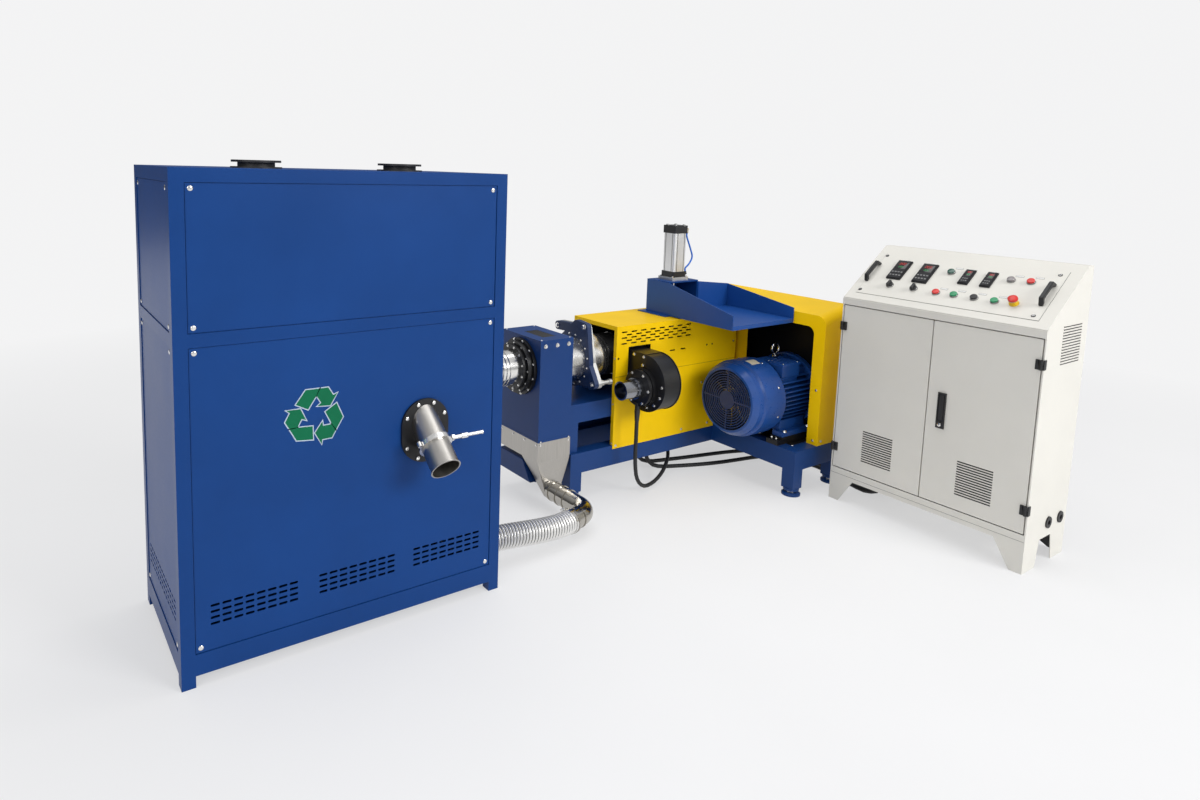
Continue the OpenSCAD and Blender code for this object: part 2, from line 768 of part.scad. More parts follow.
// The hose leaves the elbow along the pipe and meets the inlet squarely
hose_from = [pipe_x - elbow_r + elbow_r * cos(elbow_turn) - elbow_stub * sin(elbow_turn),
  pipe_to - elbow_r * sin(elbow_turn) - elbow_stub * cos(elbow_turn), pipe_z];
hose_dir = [-sin(elbow_turn), -cos(elbow_turn), 0];
hose_to = [cab_w + inlet_l, hose_end_y, hose_end_z];
hose_pull = norm(hose_to - hose_from) / 3;
function bend(a, b, c, d, t) =
  pow(1 - t, 3) * a + 3 * t * pow(1 - t, 2) * b + 3 * t * t * (1 - t) * c + pow(t, 3) * d;
hose_steps = 14;
hose_line = [for (k = [0:hose_steps]) bend(hose_from, hose_from + hose_pull * hose_dir,
  hose_to + [hose_pull, 0, 0], hose_to, k / hose_steps)];
module transfer_hose() {
  color("#c4c2be") at_plan() tube(hose_line, hose_r, 16, [0, 0, 1], [hose_dir, [-1, 0, 0]]);
}

// ---------- Barrel ----------

barrel_x = disc_x + disc_t;
barrel_end = gx + 60;
throat_x = vx + tray_x + tray_t;
throat_y = axis_y - feed_d / 2 + 10;
saddle_at = [vx + 230, vx + cover_l - 170];
heaters_at = [barrel_x + 4, vx + 300, vx + cover_l - 100];
duct_foot = barrel_z + barrel_r + 18;
module barrel() {
  color("#262626") at_plan() {
    along_x(barrel_x, axis_y, barrel_z) cylinder(r = barrel_r, h = barrel_end - barrel_x, $fn = 72);
    for (x = heaters_at) along_x(x, axis_y, barrel_z)
      cylinder(r = heater_r, h = heater_l, $fn = 72);
    translate([throat_x - 12, throat_y - 12, barrel_z])
      cube([feed_w + 24, feed_d + 24, duct_foot - barrel_z]);
  }
}

cover_cut_w = 162;
cover_slot = [41, 8];
slot_step = 69;
module cover_slot_hole() {
  translate([cover_slot[1] / 2, 0, 0]) cube([cover_slot[0] - cover_slot[1], 40, cover_slot[1]]);
  for (x = [cover_slot[1] / 2, cover_slot[0] - cover_slot[1] / 2]) translate([x, 0, cover_slot[1] / 2])
    rotate([-90, 0, 0]) cylinder(r = cover_slot[1] / 2, h = 40, $fn = 20);
}
// Five staggered rows of slots over the heaters, two below them, and the holes of the thermocouples
module cover_slots() {
  for (r = [0:4], c = [0:7 - r % 2])
    translate([vx + 33 + (r % 2) * slot_step / 2 + c * slot_step, vy - 5, cover_top - 37 - r * 15.8])
      cover_slot_hole();
  for (x = [397, 397 + slot_step * 1.2]) translate([vx + x, vy - 5, cover_top - 175]) cover_slot_hole();
  for (x = [696, 741]) translate([vx + x, vy - 5, cover_top - 169]) rotate([-90, 0, 0])
    cylinder(r = 6, h = 40, $fn = 24);
  translate([vx + 17, vy - 5, cover_top - 174]) rotate([-90, 0, 0]) cylinder(r = 7, h = 40, $fn = 24);
}

module barrel_cover() {
  z0 = frame_h - cover_lap;
  color("#f2c60c") at_plan()
    difference() {
      union() {
        difference() {
          translate([vx, vy, z0]) cube([cover_l, vd, cover_top - z0]);
          translate([vx - 1, vy + cover_t, z0 - 1])
            cube([cover_l + 1 - cover_t, vd - 2 * cover_t, cover_top - z0 + 1 - cover_t]);
        }
        // returned flange round the open end
        difference() {
          translate([vx, vy, frame_h]) cube([cover_t, vd, cover_top - frame_h]);
          translate([vx - 1, vy + cover_flange, frame_h - 1])
            cube([cover_t + 2, vd - 2 * cover_flange, cover_top - frame_h + 1 - cover_flange]);
        }
      }
      cover_slots();
      // the end wall stands on the frame
      translate([vx + cover_l - 10, vy + cover_t, z0 - 1]) cube([20, vd - 2 * cover_t, cover_lap + 1]);
      // the front's lap stops where the motor's part of the frame begins
      translate([ex - 2, vy - 1, z0 - 1]) cube([cover_l, cover_t + 2, cover_lap + 1]);
      // throat of the feed box
      translate([throat_x - run, throat_y - run, cover_top - 20])
        cube([feed_w + 2 * run, feed_d + 2 * run, 30]);
      // way of the blower's outlet
      translate([vx + blower_x - 15, vy - 5, blower_z - 40])
        cube([cover_cut_w, 20, blower_r + 40 + 22]);
      // way of the barrel into the drive guard
      along_x(vx + cover_l - 20, axis_y, barrel_z) cylinder(r = heater_r + 5, h = 30, $fn = 72);
    }
}

// ---------- Blower ----------

bx = vx + blower_x;
by = vy - blower_reach;
module blower_housing() {
  color("#1c1c1e") at_plan() {
    difference() {
      along_x(bx, by, blower_z) cylinder(r = blower_r, h = blower_t, $fn = 96);
      translate([bx - 1, vy, blower_z - blower_r]) cube([blower_t + 2, blower_r, 2 * blower_r]);
    }
    // rolled rims of the scroll
    for (x = [bx, bx + blower_t - 5]) intersection() {
      along_x(x, by, blower_z) difference() {
        cylinder(r = blower_r + 4, h = 5, $fn = 96);
        translate([0, 0, -1]) cylinder(r = blower_r - 4, h = 7, $fn = 96);
      }
      translate([x - 1, by - blower_r - 10, blower_z - blower_r - 10]) cube([7, vy - by + blower_r, 400]);
    }
    translate([bx, by, blower_z]) cube([blower_t, vy + 40 - by, blower_r + 4]);
  }
}

fl_x = bx - 50;
fl_z = blower_z - blower_drop;
blower_holes = 6;
module blower_flange() {
  color("#161618") at_plan() difference() {
    union() {
      along_x(fl_x, by, fl_z) cylinder(r = blower_fl_r, h = 18, $fn = 72);
      along_x(fl_x + 17, by, fl_z) cylinder(r = blower_fl_r - 9, h = 8, $fn = 72);
      along_x(fl_x + 24, by, fl_z) cylinder(r = blower_fl_r + 2, h = bx - fl_x - 24, $fn = 72);
      translate([fl_x + 9, by, gland_z]) cylinder(r = 14, h = 40, $fn = 32);
    }
    for (k = [0:blower_holes - 1]) along_x(fl_x - 1, by, fl_z)
      rotate([0, 0, k * 60 + 30]) translate([blower_fl_r - 12, 0, 0]) cylinder(r = 4, h = 9, $fn = 20);
  }
}

module blower_ring() {
  color("#c9c9c9") at_plan() difference() {
    union() {
      along_x(fl_x - blower_ring_l, by, fl_z) cylinder(r = blower_ring_r, h = blower_ring_l, $fn = 72);
      along_x(fl_x - 26, by, fl_z) cylinder(r = blower_ring_r + 7, h = 26, $fn = 72);
    }
    along_x(fl_x - blower_ring_l - 1, by, fl_z) cylinder(r = blower_ring_r - 9, h = 90, $fn = 72);
  }
}

gland_z = fl_z - blower_fl_r - 24;
entry_z = 180;
gland_l = 20;
// Glands under the entry plate: the blower's cable, then the two supply cables
entry_at = [[2820, 640], [2640, 640], [2640, 730]];
blower_route = [[fl_x + 9, by, gland_z], [fl_x + 9, by, gland_z - 60], [2336, 398, 300],
  [2340, 400, 180], [2362, 402, 85], [2425, 412, 30], [2520, 432, 30], [2620, 470, 56],
  [2730, 545, 86], [2805, 622, 108], [2820, 640, entry_z - 50], [2820, 640, entry_z - gland_l]];
module blower_cable() {
  color("#101010") at_plan() cord(blower_route, 2, 9, [0.3, 1, 0]);
}

module cable_entry() {
  color("#2a2a2c") at_plan() {
    translate([2590, fy + leg, entry_z]) cube([290, frame_w - 2 * leg, 6]);
    for (p = entry_at) translate([p[0], p[1], entry_z - gland_l])
      cylinder(r = 15, h = gland_l + weld, $fn = 32);
  }
}

floor_cable_r = 10;
front_route = [[2640, 640, entry_z - gland_l], [2640, 640, 125], [2654, 636, 70], [2690, 622, 26],
  [2760, 592, 11], [2860, 550, 11], [2980, 505, 11], [3110, 468, 11], [3250, 440, 11],
  [3370, 415, 11], [3470, 365, 11], [3532, 280, 11], [3550, 130, 11], [3532, 0, 11],
  [3490, -120, 11], [3464, -230, 14], [3456, -305, 40], [3455, -336, 80],
  [3455, -336, con_floor - 16]];
module supply_cable_front() {
  color("#101010") at_plan() cord(front_route, 1, floor_cable_r, [1, 0.35, 0]);
}
rear_route = [[2640, 730, entry_z - gland_l], [2640, 730, 125], [2654, 727, 70], [2690, 712, 26],
  [2760, 690, 11], [2860, 664, 11], [2980, 634, 11], [3110, 605, 11], [3250, 572, 11],
  [3370, 532, 11], [3480, 470, 11], [3560, 370, 11], [3590, 230, 11], [3588, 80, 11],
  [3556, -40, 11], [3515, -140, 11], [3498, -240, 14], [3504, -308, 40], [3505, -336, 80],
  [3505, -336, con_floor - 16]];
module supply_cable_rear() {
  color("#101010") at_plan() cord(rear_route, 1, floor_cable_r, [1, 0.35, 0]);
}

// ---------- Feed tray, feed box and ram ----------

tx = vx + tray_x;
tray_front = vy - tray_reach;
tray_back = throat_y;
base_t = 5;
tz = cover_top + base_t;
feed_top = cover_top + feed_up;
floor_z = tz + 17;
module tray_wall(x, pts) {
  translate([x, 0, 0]) rotate([90, 0, 90]) linear_extrude(height = tray_t) polygon(pts);
}
module feed_tray() {
  color("#24509f") at_plan() {
    tray_wall(tx, [[tray_front, tz], [tray_back + feed_d, tz], [tray_back + feed_d, feed_top],
      [tray_back, feed_top - 4], [tray_front, tz + 78]]);
    tray_wall(tx + tray_w - tray_t, [[tray_front, tz], [tray_back, tz], [tray_back, feed_top - 36],
      [tray_front, tz + 84]]);
    translate([tx + tray_t + feed_w, tray_back, 0]) rotate([90, 0, 0]) linear_extrude(height = tray_t)
      polygon([[0, tz], [tray_w - tray_t - feed_w, tz], [tray_w - tray_t - feed_w, feed_top - 36],
        [0, feed_top - 8]]);
    translate([tx, tray_front, floor_z]) cube([tray_w, tray_back - tray_front, tray_t]);
    translate([tx, tray_front, tz]) cube([tray_w, tray_t, floor_z - tz + 1]);
    // base flange on the cover's top, open over the throat
    difference() {
      translate([tx - 30, throat_y - 20, cover_top]) cube([feed_w + 66, feed_d + 60, base_t]);
      translate([throat_x - run, throat_y - run, cover_top - 1])
        cube([feed_w + 2 * run, feed_d + 2 * run, base_t + 2]);
    }
  }
}

module feed_box() {
  color("#24509f") at_plan() difference() {
    translate([throat_x, throat_y, duct_foot]) cube([feed_w, feed_d, feed_top - duct_foot]);
    translate([throat_x + feed_t, throat_y + feed_t, duct_foot - 1])
      cube([feed_w - 2 * feed_t, feed_d - 2 * feed_t, feed_top - feed_t - duct_foot + 1]);
    translate([throat_x + feed_t, throat_y - 1, floor_z + tray_t])
      cube([feed_w - 2 * feed_t, feed_t + 2, feed_top - feed_t - floor_z - tray_t]);
    translate([ram_x, ram_y, feed_top - 20]) cylinder(r = ram_rod_r + 6, h = 40, $fn = 48);
  }
}

ram_x = throat_x + feed_w / 2;
ram_y = throat_y + feed_d / 2;
ram_base_t = 18;
cap_low = 32;
cap_top = 45;
ram_z = feed_top + ram_base_t;
module round_block(s, h, r) {
  for (x = [-1, 1], y = [-1, 1]) translate([x * (s / 2 - r), y * (s / 2 - r), 0])
    cylinder(r = r, h = h, $fn = 32);
  translate([-s / 2 + r, -s / 2, 0]) cube([s - 2 * r, s, h]);
  translate([-s / 2, -s / 2 + r, 0]) cube([s, s - 2 * r, h]);
}
module ram_cylinder() {
  color("#8f9092") at_plan() translate([ram_x, ram_y, ram_z]) difference() {
    union() {
      round_block(ram_side + 6, cap_low, 8);
      translate([0, 0, cap_low - weld]) round_block(ram_side, ram_h - cap_low - cap_top + 2 * weld, 16);
      translate([0, 0, ram_h - cap_top]) round_block(ram_side + 6, cap_top, 8);
    }
    translate([0, 0, -1]) cylinder(r = ram_rod_r + run, h = 60, $fn = 48);
    translate([0, 0, cap_low]) cylinder(r = ram_side / 2 - 8, h = ram_h - cap_low - 20, $fn = 64);
  }
}
module ram_base() {
  color("#b8b8b6") at_plan() translate([ram_x, ram_y, feed_top]) difference() {
    translate([-64, -58, 0]) cube([128, 116, ram_base_t]);
    translate([0, 0, -1]) cylinder(r = ram_rod_r + 1, h = ram_base_t + 2, $fn = 48);
  }
}

plunger_z = feed_top - plunger_drop;
piston_t = 24;
// Rod above the plunger, up to the piston, whose rest place leaves both strokes free
module ram_plunger() {
  color("#c6c6c4") at_plan() translate([ram_x, ram_y, 0]) {
    translate([-feed_w / 2 + feed_t + 5, -feed_d / 2 + feed_t + 5, plunger_z])
      cube([feed_w - 2 * feed_t - 10, feed_d - 2 * feed_t - 10, ram_plunger_t]);
    translate([0, 0, plunger_z + ram_plunger_t - weld])
      cylinder(r = ram_rod_r, h = piston_z - plunger_z - ram_plunger_t + 2 * weld, $fn = 48);
    translate([0, 0, piston_z]) cylinder(r = ram_side / 2 - 8 - run, h = piston_t, $fn = 64);
  }
}
piston_z = ram_z + cap_low + ram_down + 8;

port_x = ram_x + ram_side / 2 + 3;
fit_x = port_x + 14;
fit_y = ram_y - 30;
fit_top = ram_z + ram_h - cap_top / 2;
fit_low = ram_z + cap_low / 2;
module air_fittings() {
  color("#3a3a3c") at_plan() for (p = [[fit_top, -22], [fit_low, 14]]) {
    translate([port_x, fit_y, p[0]]) rotate([0, 90, 0]) cylinder(r = 7, h = 14 + 7, $fn = 32);
    translate([fit_x, fit_y, min(p[0], p[0] + p[1])]) cylinder(r = 7.5, h = abs(p[1]), $fn = 32);
  }
}
air_route = [[fit_x, fit_y, fit_top - 22], [fit_x, fit_y, fit_top - 45],
  [fit_x + 34, fit_y, fit_top - 115], [fit_x + 52, fit_y, fit_top - 165],
  [fit_x + 30, fit_y, fit_top - 205], [fit_x, fit_y, fit_low + 32], [fit_x, fit_y, fit_low + 14]];
module air_tube() {
  color("#1670c8") at_plan() cord(air_route, 3, 5, [0, 1, 0]);
}

// ---------- Motor ----------

mx = ex - fan_cover_x;
my = ey + motor_y;
mz = frame_h + motor_base_h + motor_up;
stator_x = mx + fan_cover_l;
shaft_r = 27.5;
shaft_out = 45;
grille_rings = 9;
grille_z = 3;
grille_t = 5;
module fan_cover() {
  color("#24509f") at_plan() along_x(mx, my, mz)
    rotate_extrude($fn = 120) polygon([[grille_r, 0], [grille_r + 12, 2], [fan_cover_r - 12, 34],
      [fan_cover_r - 12, 68], [fan_cover_r, 76], [fan_cover_r, fan_cover_l], [fan_cover_r - 4, fan_cover_l],
      [fan_cover_r - 4, 80], [fan_cover_r - 16, 71], [fan_cover_r - 16, 36], [grille_r + 8, grille_z],
      [grille_r, grille_z]]);
}

// Disc behind the cover's rim, with rings of slots between its hub and four spokes
module fan_grille() {
  step = (grille_r - 42) / (grille_rings + 0.5);
  color("#24509f") at_plan() along_x(mx + grille_z, my, mz) difference() {
    cylinder(r = grille_r + 6, h = grille_t, $fn = 120);
    for (k = [0:grille_rings - 1]) translate([0, 0, -1]) difference() {
      cylinder(r = grille_r - 3 - k * step, h = grille_t + 2, $fn = 120);
      translate([0, 0, -1]) cylinder(r = grille_r - 3 - k * step - step * 0.55, h = grille_t + 4, $fn = 120);
      for (a = [0:3]) rotate([0, 0, a * 90]) translate([0, -4, -1]) cube([grille_r, 8, grille_t + 4]);
    }
  }
}

fan_r = fan_cover_r - 34;
module motor_fan() {
  color("#1d2e4e") at_plan() along_x(mx, my, mz) {
    translate([0, 0, 40]) cylinder(r = shaft_r, h = fan_cover_l + stator_l + shaft_out - 40, $fn = 64);
    translate([0, 0, 46]) cylinder(r = 62, h = 80, $fn = 64);
    translate([0, 0, 118]) cylinder(r = fan_r, h = 8, $fn = 96);
    for (k = [0:fan_blades - 1]) rotate([0, 0, k * 360 / fan_blades])
      translate([58, -3, 54]) cube([fan_r - 62, 6, 66]);
  }
}

foot_span = 318;
eye_boss = 3;
fin_t = 5;
fin_gap = 24;
shield_t = 30;
module motor_body() {
  color("#24509f") at_plan() {
    difference() {
      along_x(stator_x, my, mz) difference() {
        union() {
          cylinder(r = stator_r, h = stator_l, $fn = 96);
          intersection() {
            translate([0, 0, shield_t]) cylinder(r = fin_r, h = stator_l - 2 * shield_t, $fn = 96);
            union() {
              for (i = [-5:5]) {
                translate([i * fin_gap - fin_t / 2, -fin_r, 0]) cube([fin_t, 2 * fin_r, stator_l]);
                translate([-fin_r, i * fin_gap - fin_t / 2, 0]) cube([2 * fin_r, fin_t, stator_l]);
              }
            }
          }
          for (z = [0, stator_l - shield_t]) translate([0, 0, z])
            cylinder(r = fan_cover_r - 5, h = shield_t, $fn = 96);
        }
        translate([0, 0, -1]) cylinder(r = shaft_r + run, h = stator_l + 2, $fn = 64);
      }
    }
    // boss of the lifting eye
    translate([eye_x, my, mz + stator_r - 10])
      cylinder(r = 20, h = fin_r + eye_boss - stator_r + 10, $fn = 40);
    // neck of the terminal box, on the upper shoulder that faces the aisle
    translate([stator_x + 60, my - 150, mz + 90]) cube([130, 90, box_z - mz - 90]);
  }
}

// Feet under the frame, hollowed to sit round its fins
module motor_feet() {
  color("#24509f") at_plan() difference() {
    for (s = [-1, 1]) {
      translate([stator_x + 40, my + s * foot_span / 2 - 33, mz - motor_up]) cube([stator_l - 80, 66, 26]);
      translate([stator_x + 60, my + s * (foot_span / 2 - 28) - 24, mz - motor_up + 20])
        cube([stator_l - 120, 48, 90]);
    }
    along_x(stator_x, my, mz) cylinder(r = fin_r + run, h = stator_l, $fn = 96);
  }
}

box_z = mz + 126;
module terminal_box() {
  color("#24509f") at_plan() difference() {
    union() {
      translate([stator_x + 50, my - 156, box_z]) cube([150, 110, 66]);
      translate([stator_x + 44, my - 162, box_z + 60]) cube([162, 122, 14]);
      for (k = [0:4]) translate([stator_x + 62 + k * 28, my - 150, box_z + 73]) cube([10, 98, 5]);
    }
    along_x(stator_x, my, mz) cylinder(r = fin_r + run, h = stator_l, $fn = 96);
  }
}

eye_x = stator_x + 221;
module lifting_eye() {
  color("#dcdcda") at_plan() translate([eye_x, my, mz + fin_r + eye_boss]) {
    cylinder(r = 16, h = 8, $fn = 40);
    cylinder(r = 8, h = 20, $fn = 32);
    translate([0, 0, 44]) rotate([90, 0, 0])
      rotate_extrude($fn = 64) translate([26, 0]) circle(r = 6, $fn = 24);
  }
}

base_w = 74;
module motor_base() {
  long = frame_r - cover_t - 10 - ex;
  color("#1a1a1c") at_plan()
    for (s = [-1, 1]) translate([ex, my + s * foot_span / 2 - base_w / 2, frame_h]) {
      cube([long, base_w, motor_base_h - 12]);
      translate([stator_x + 30 - ex, 0, motor_base_h - 13]) cube([stator_l - 60, base_w, 13]);
    }
}

// ---------- Drive guard ----------

// End outline of the guard, across the barrel, with rounded top corners
module guard_end(x, top, inset) {
  r = max(guard_r - inset, 2);
  w = gd - 2 * inset;
  h = top - inset - frame_h;
  translate([x, gy + inset, frame_h]) rotate([90, 0, 90]) linear_extrude(height = weld) {
    square([w, h - r]);
    for (y = [r, w - r]) translate([y, h - r]) circle(r = r, $fn = 48);
    translate([r, 0]) square([w - 2 * r, h]);
  }
}
module guard_form(inset) {
  hull() {
    guard_end(gx + inset, guard_low, inset);
    guard_end(gx + guard_l - inset - weld, guard_high, inset);
  }
}

open_w = 446;
open_r = 42;
open_top = 905;
module drive_guard() {
  y0 = gy + guard_margin;
  color("#f2c60c") at_plan() difference() {
    guard_form(0);
    guard_form(cover_t);
    translate([gx + cover_t, gy + cover_t, frame_h - 1])
      cube([guard_l - 2 * cover_t, gd - 2 * cover_t, guard_low / 2]);
    // opening round the motor
    translate([gx - 2, y0, frame_h - 1]) {
      cube([cover_t + 12, open_w, open_top - open_r - frame_h + 1]);
      translate([0, open_r, 0]) cube([cover_t + 12, open_w - 2 * open_r, open_top - frame_h + 1]);
      for (y = [open_r, open_w - open_r]) translate([0, y, open_top - open_r - frame_h + 1])
        rotate([0, 90, 0]) cylinder(r = open_r, h = cover_t + 12, $fn = 64);
    }
    along_x(gx - 10, axis_y, barrel_z) cylinder(r = heater_r + 5, h = 30, $fn = 72);
  }
}

// ---------- Control console ----------

module on_slope() {
  translate([cx, cy, con_front]) rotate([0, 0, -90]) rotate([slope_a, 0, 0]) children();
}
// Outline across the console, inset by a sheet's thickness
module con_profile(i) {
  polygon([[cx + i, con_floor + i], [cx + con_d - i, con_floor + i], [cx + con_d - i, con_top - i],
    [cx + con_slope + i * 0.4, con_top - i], [cx + i, con_front - i * 0.4]]);
}
con_in = cy - con_t;
con_out = cy - con_w + con_t;
vent_h = 170;
louvre_w = 160;

module louvre_cut(l, h) {
  p = h / louvres;
  for (k = [0:louvres - 1]) translate([0, -6, k * p + p * 0.3]) cube([l, 30, p * 0.38]);
}

foot_top_w = 130;
foot_bottom_w = 54;
// A corner's sheet foot: x into the depth, y into the width, tapered towards the floor
module con_foot() {
  rotate([90, 0, 90]) linear_extrude(height = 3)
    polygon([[0, 0], [foot_bottom_w, 0], [foot_top_w, con_floor], [0, con_floor]]);
  translate([0, 3, 0]) rotate([90, 0, 0]) linear_extrude(height = 3)
    polygon([[0, 0], [con_d * 0.3, 0], [con_d * 0.36, con_floor], [0, con_floor]]);
}

plate_w = 862;
plate_s = [46, 381];
module console_body() {
  color("#d9d8d2") at_plan() {
    difference() {
      translate([0, cy, 0]) rotate([90, 0, 0]) linear_extrude(height = con_w) con_profile(0);
      translate([0, cy - con_t, 0]) rotate([90, 0, 0])
        linear_extrude(height = con_w - 2 * con_t) con_profile(4);
      // doorway
      translate([cx - 1, con_out, door_low - door_gap])
        cube([30, con_in - con_out, door_high - door_low + 2 * door_gap]);
      // louvres of the right side
      translate([cx + 158, cy - con_w + 10, louvre_side]) rotate([0, 0, 0]) louvre_cut(187, 180);
      // cable ways of the right side and of the floor
      for (p = side_glands) translate([cx + p[0], cy - con_w - 1, p[1]]) rotate([-90, 0, 0])
        cylinder(r = 20, h = con_t + 2, $fn = 32);
      for (p = floor_glands) translate([p[0], p[1], con_floor - 1]) cylinder(r = 12, h = 10, $fn = 32);
    }
    // lip over the doors
    translate([cx - 4, cy - con_w, door_high + door_gap])
      cube([6, con_w, con_front - door_high - door_gap - 6]);
    // operating plate on the slope
    on_slope() translate([(con_w - plate_w) / 2 - 5, plate_s[0], -weld])
      cube([plate_w, plate_s[1] - plate_s[0], 2 + weld]);
  }
}

module console_feet() {
  color("#d9d8d2") at_plan() for (s = [0, 1], e = [0, 1])
    translate([cx + s * con_d, cy - e * con_w, 0]) mirror([s, 0, 0]) mirror([0, 1 - e, 0]) con_foot();
}
side_glands = [[217, 192], [338, 190]];
floor_glands = [[3455, -336], [3505, -336]];

door_w = (con_w - 2 * con_t - 3 * door_gap) / 2;
seam_y = cy - con_w / 2;
module door_vent(y) {
  translate([cx, y, louvre_low]) for (k = [0:louvres - 1])
    translate([-6, 0, k * vent_h / louvres + 3]) cube([door_t + 8, louvre_w, vent_h / louvres * 0.4]);
}
module left_door() {
  color("#d4d3cd") at_plan() difference() {
    translate([cx, seam_y + door_gap / 2, door_low]) cube([door_t, door_w, door_high - door_low]);
    translate([cx + 3, seam_y + door_gap / 2 + 3, door_low + 3])
      cube([door_t, door_w - 6, door_high - door_low - 6]);
    door_vent(cy - 168 - louvre_w);
  }
}
module right_door() {
  color("#d4d3cd") at_plan() difference() {
    translate([cx, seam_y - door_gap / 2 - door_w, door_low]) cube([door_t, door_w, door_high - door_low]);
    translate([cx + 3, seam_y - door_gap / 2 - door_w + 3, door_low + 3])
      cube([door_t, door_w - 6, door_high - door_low - 6]);
    door_vent(cy - 646 - louvre_w);
  }
}

lock_y = seam_y - 72;
lock_w = 38;
lock_h = 172;
module door_lock() {
  color("#141414") at_plan() {
    difference() {
      translate([cx - 8, lock_y - lock_w / 2, 549]) cube([8, lock_w, lock_h]);
      translate([cx - 9, lock_y - lock_w / 2 + 5, 549 + 34]) cube([6, lock_w - 10, lock_h - 42]);
    }
    translate([cx - 7, lock_y - lock_w / 2 + 8, 549 + 38]) cube([4, lock_w - 16, lock_h - 50]);
    translate([cx - 11, lock_y, 549 + 18]) rotate([0, 90, 0]) cylinder(r = 9, h = 8, $fn = 32);
  }
}

// Hinges: the knuckles stand proud of the front, over the gap beside the door
hinges_z = [292, 947];
pivot_x = cx - hinge_r - 1;
left_pivot = con_in - door_gap / 2;
right_pivot = con_out + door_gap / 2;
pin_r = 3;
module fixed_hinge(y, s) {
  for (z = hinges_z) translate([pivot_x, y, z - hinge_h / 2]) {
    cylinder(r = hinge_r, h = hinge_h / 2 - 0.5, $fn = 32);
    cylinder(r = pin_r, h = hinge_h - 3, $fn = 32);
    translate([0, s > 0 ? 0 : -hinge_r - 1.5, 0]) cube([hinge_r + 1, hinge_r + 1.5, hinge_h / 2 - 0.5]);
  }
}
module door_leaves(y, s) {
  for (z = hinges_z) translate([pivot_x, y, z + 0.5]) difference() {
    union() {
      cylinder(r = hinge_r, h = hinge_h / 2 - 0.5, $fn = 32);
      translate([0, s > 0 ? -32 : 0, 0]) cube([hinge_r + 1, 32, hinge_h / 2 - 0.5]);
    }
    translate([0, 0, -1]) cylinder(r = pin_r + run, h = hinge_h, $fn = 32);
    translate([3, s > 0 ? -door_gap / 2 : -hinge_r - 1, -1])
      cube([hinge_r, hinge_r + door_gap / 2 + 1, hinge_h]);
  }
}
module console_hinges() {
  color("#161616") at_plan() {
    fixed_hinge(left_pivot, 1);
    fixed_hinge(right_pivot, -1);
  }
}
module left_door_leaves() {
  color("#161616") at_plan() door_leaves(left_pivot, 1);
}
module right_door_leaves() {
  color("#161616") at_plan() door_leaves(right_pivot, -1);
}

// Bridge handles, seen from the side: two feet, two sloped shanks and a grip
handle_l = 150;
handle_h = 36;
handle_b = 18;
handle_s = 136;
module bridge_handles() {
  color("#161616") at_plan() for (u = [51, con_w - 81]) on_slope()
    translate([u + handle_b / 2, handle_s, 2]) rotate([90, 0, -90]) linear_extrude(height = handle_b)
      difference() {
        polygon([[0, 0], [0, 8], [18, handle_h], [handle_l - 18, handle_h], [handle_l, 8], [handle_l, 0]]);
        polygon([[16, -1], [16, 6], [26, handle_h - 12], [handle_l - 26, handle_h - 12],
          [handle_l - 16, 6], [handle_l - 16, -1]]);
      }
}

// Controllers: [place along the width, place up the slope, width, height]
meters = [[177, 250, 74, 143], [312, 248, 74, 143], [511, 260, 46, 104], [612, 260, 46, 104]];
module controllers() {
  color("#202226") at_plan() for (m = meters) on_slope() translate([m[0], m[1], 2]) {
    translate([-m[2] / 2, -m[3] / 2, 0]) cube([m[2], m[3], 8]);
    translate([-m[2] / 2 + 4, -m[3] / 2 + 4, 7]) cube([m[2] - 8, m[3] - 8, 4]);
  }
}

// Push-buttons, lamps and selectors along the slope
lamps = [[426, 283], [702, 279], [785, 283], [425, 125], [510, 126], [603, 126], [694, 124]];
selectors = [[186, 131], [311, 130]];
stop_at = [775, 129];
bezel_r = 15;
module push_buttons() {
  color("#b8b8b8") at_plan() {
    for (p = concat(lamps, selectors)) on_slope() translate([p[0], p[1], 2]) {
      cylinder(r = bezel_r, h = 7, $fn = 40);
      translate([0, 0, 6]) cylinder(r = bezel_r - 3.5, h = 6, $fn = 40);
    }
    for (p = selectors) on_slope() translate([p[0] - 4, p[1] - 13, 13 - weld]) cube([8, 26, 12]);
    on_slope() translate([stop_at[0], stop_at[1], 2]) {
      cylinder(r = bezel_r + 4, h = 5, $fn = 40);
      cylinder(r = bezel_r - 3, h = 24, $fn = 40);
      translate([0, 0, 22]) cylinder(r = 20, h = 12, $fn = 48);
    }
  }
}

module cable_glands() {
  color("#151515") at_plan() {
    for (p = side_glands) translate([cx + p[0], cy - con_w - gland_proud, p[1]]) rotate([-90, 0, 0])
      difference() {
        union() {
          cylinder(r = 27, h = gland_proud, $fn = 40);
          cylinder(r = 19.7, h = gland_proud + con_t, $fn = 40);
        }
        translate([0, 0, -1]) cylinder(r = 14, h = gland_proud + con_t + 2, $fn = 40);
      }
    for (p = floor_glands) translate([p[0], p[1], con_floor - 16]) cylinder(r = 16, h = 16, $fn = 32);
  }
}

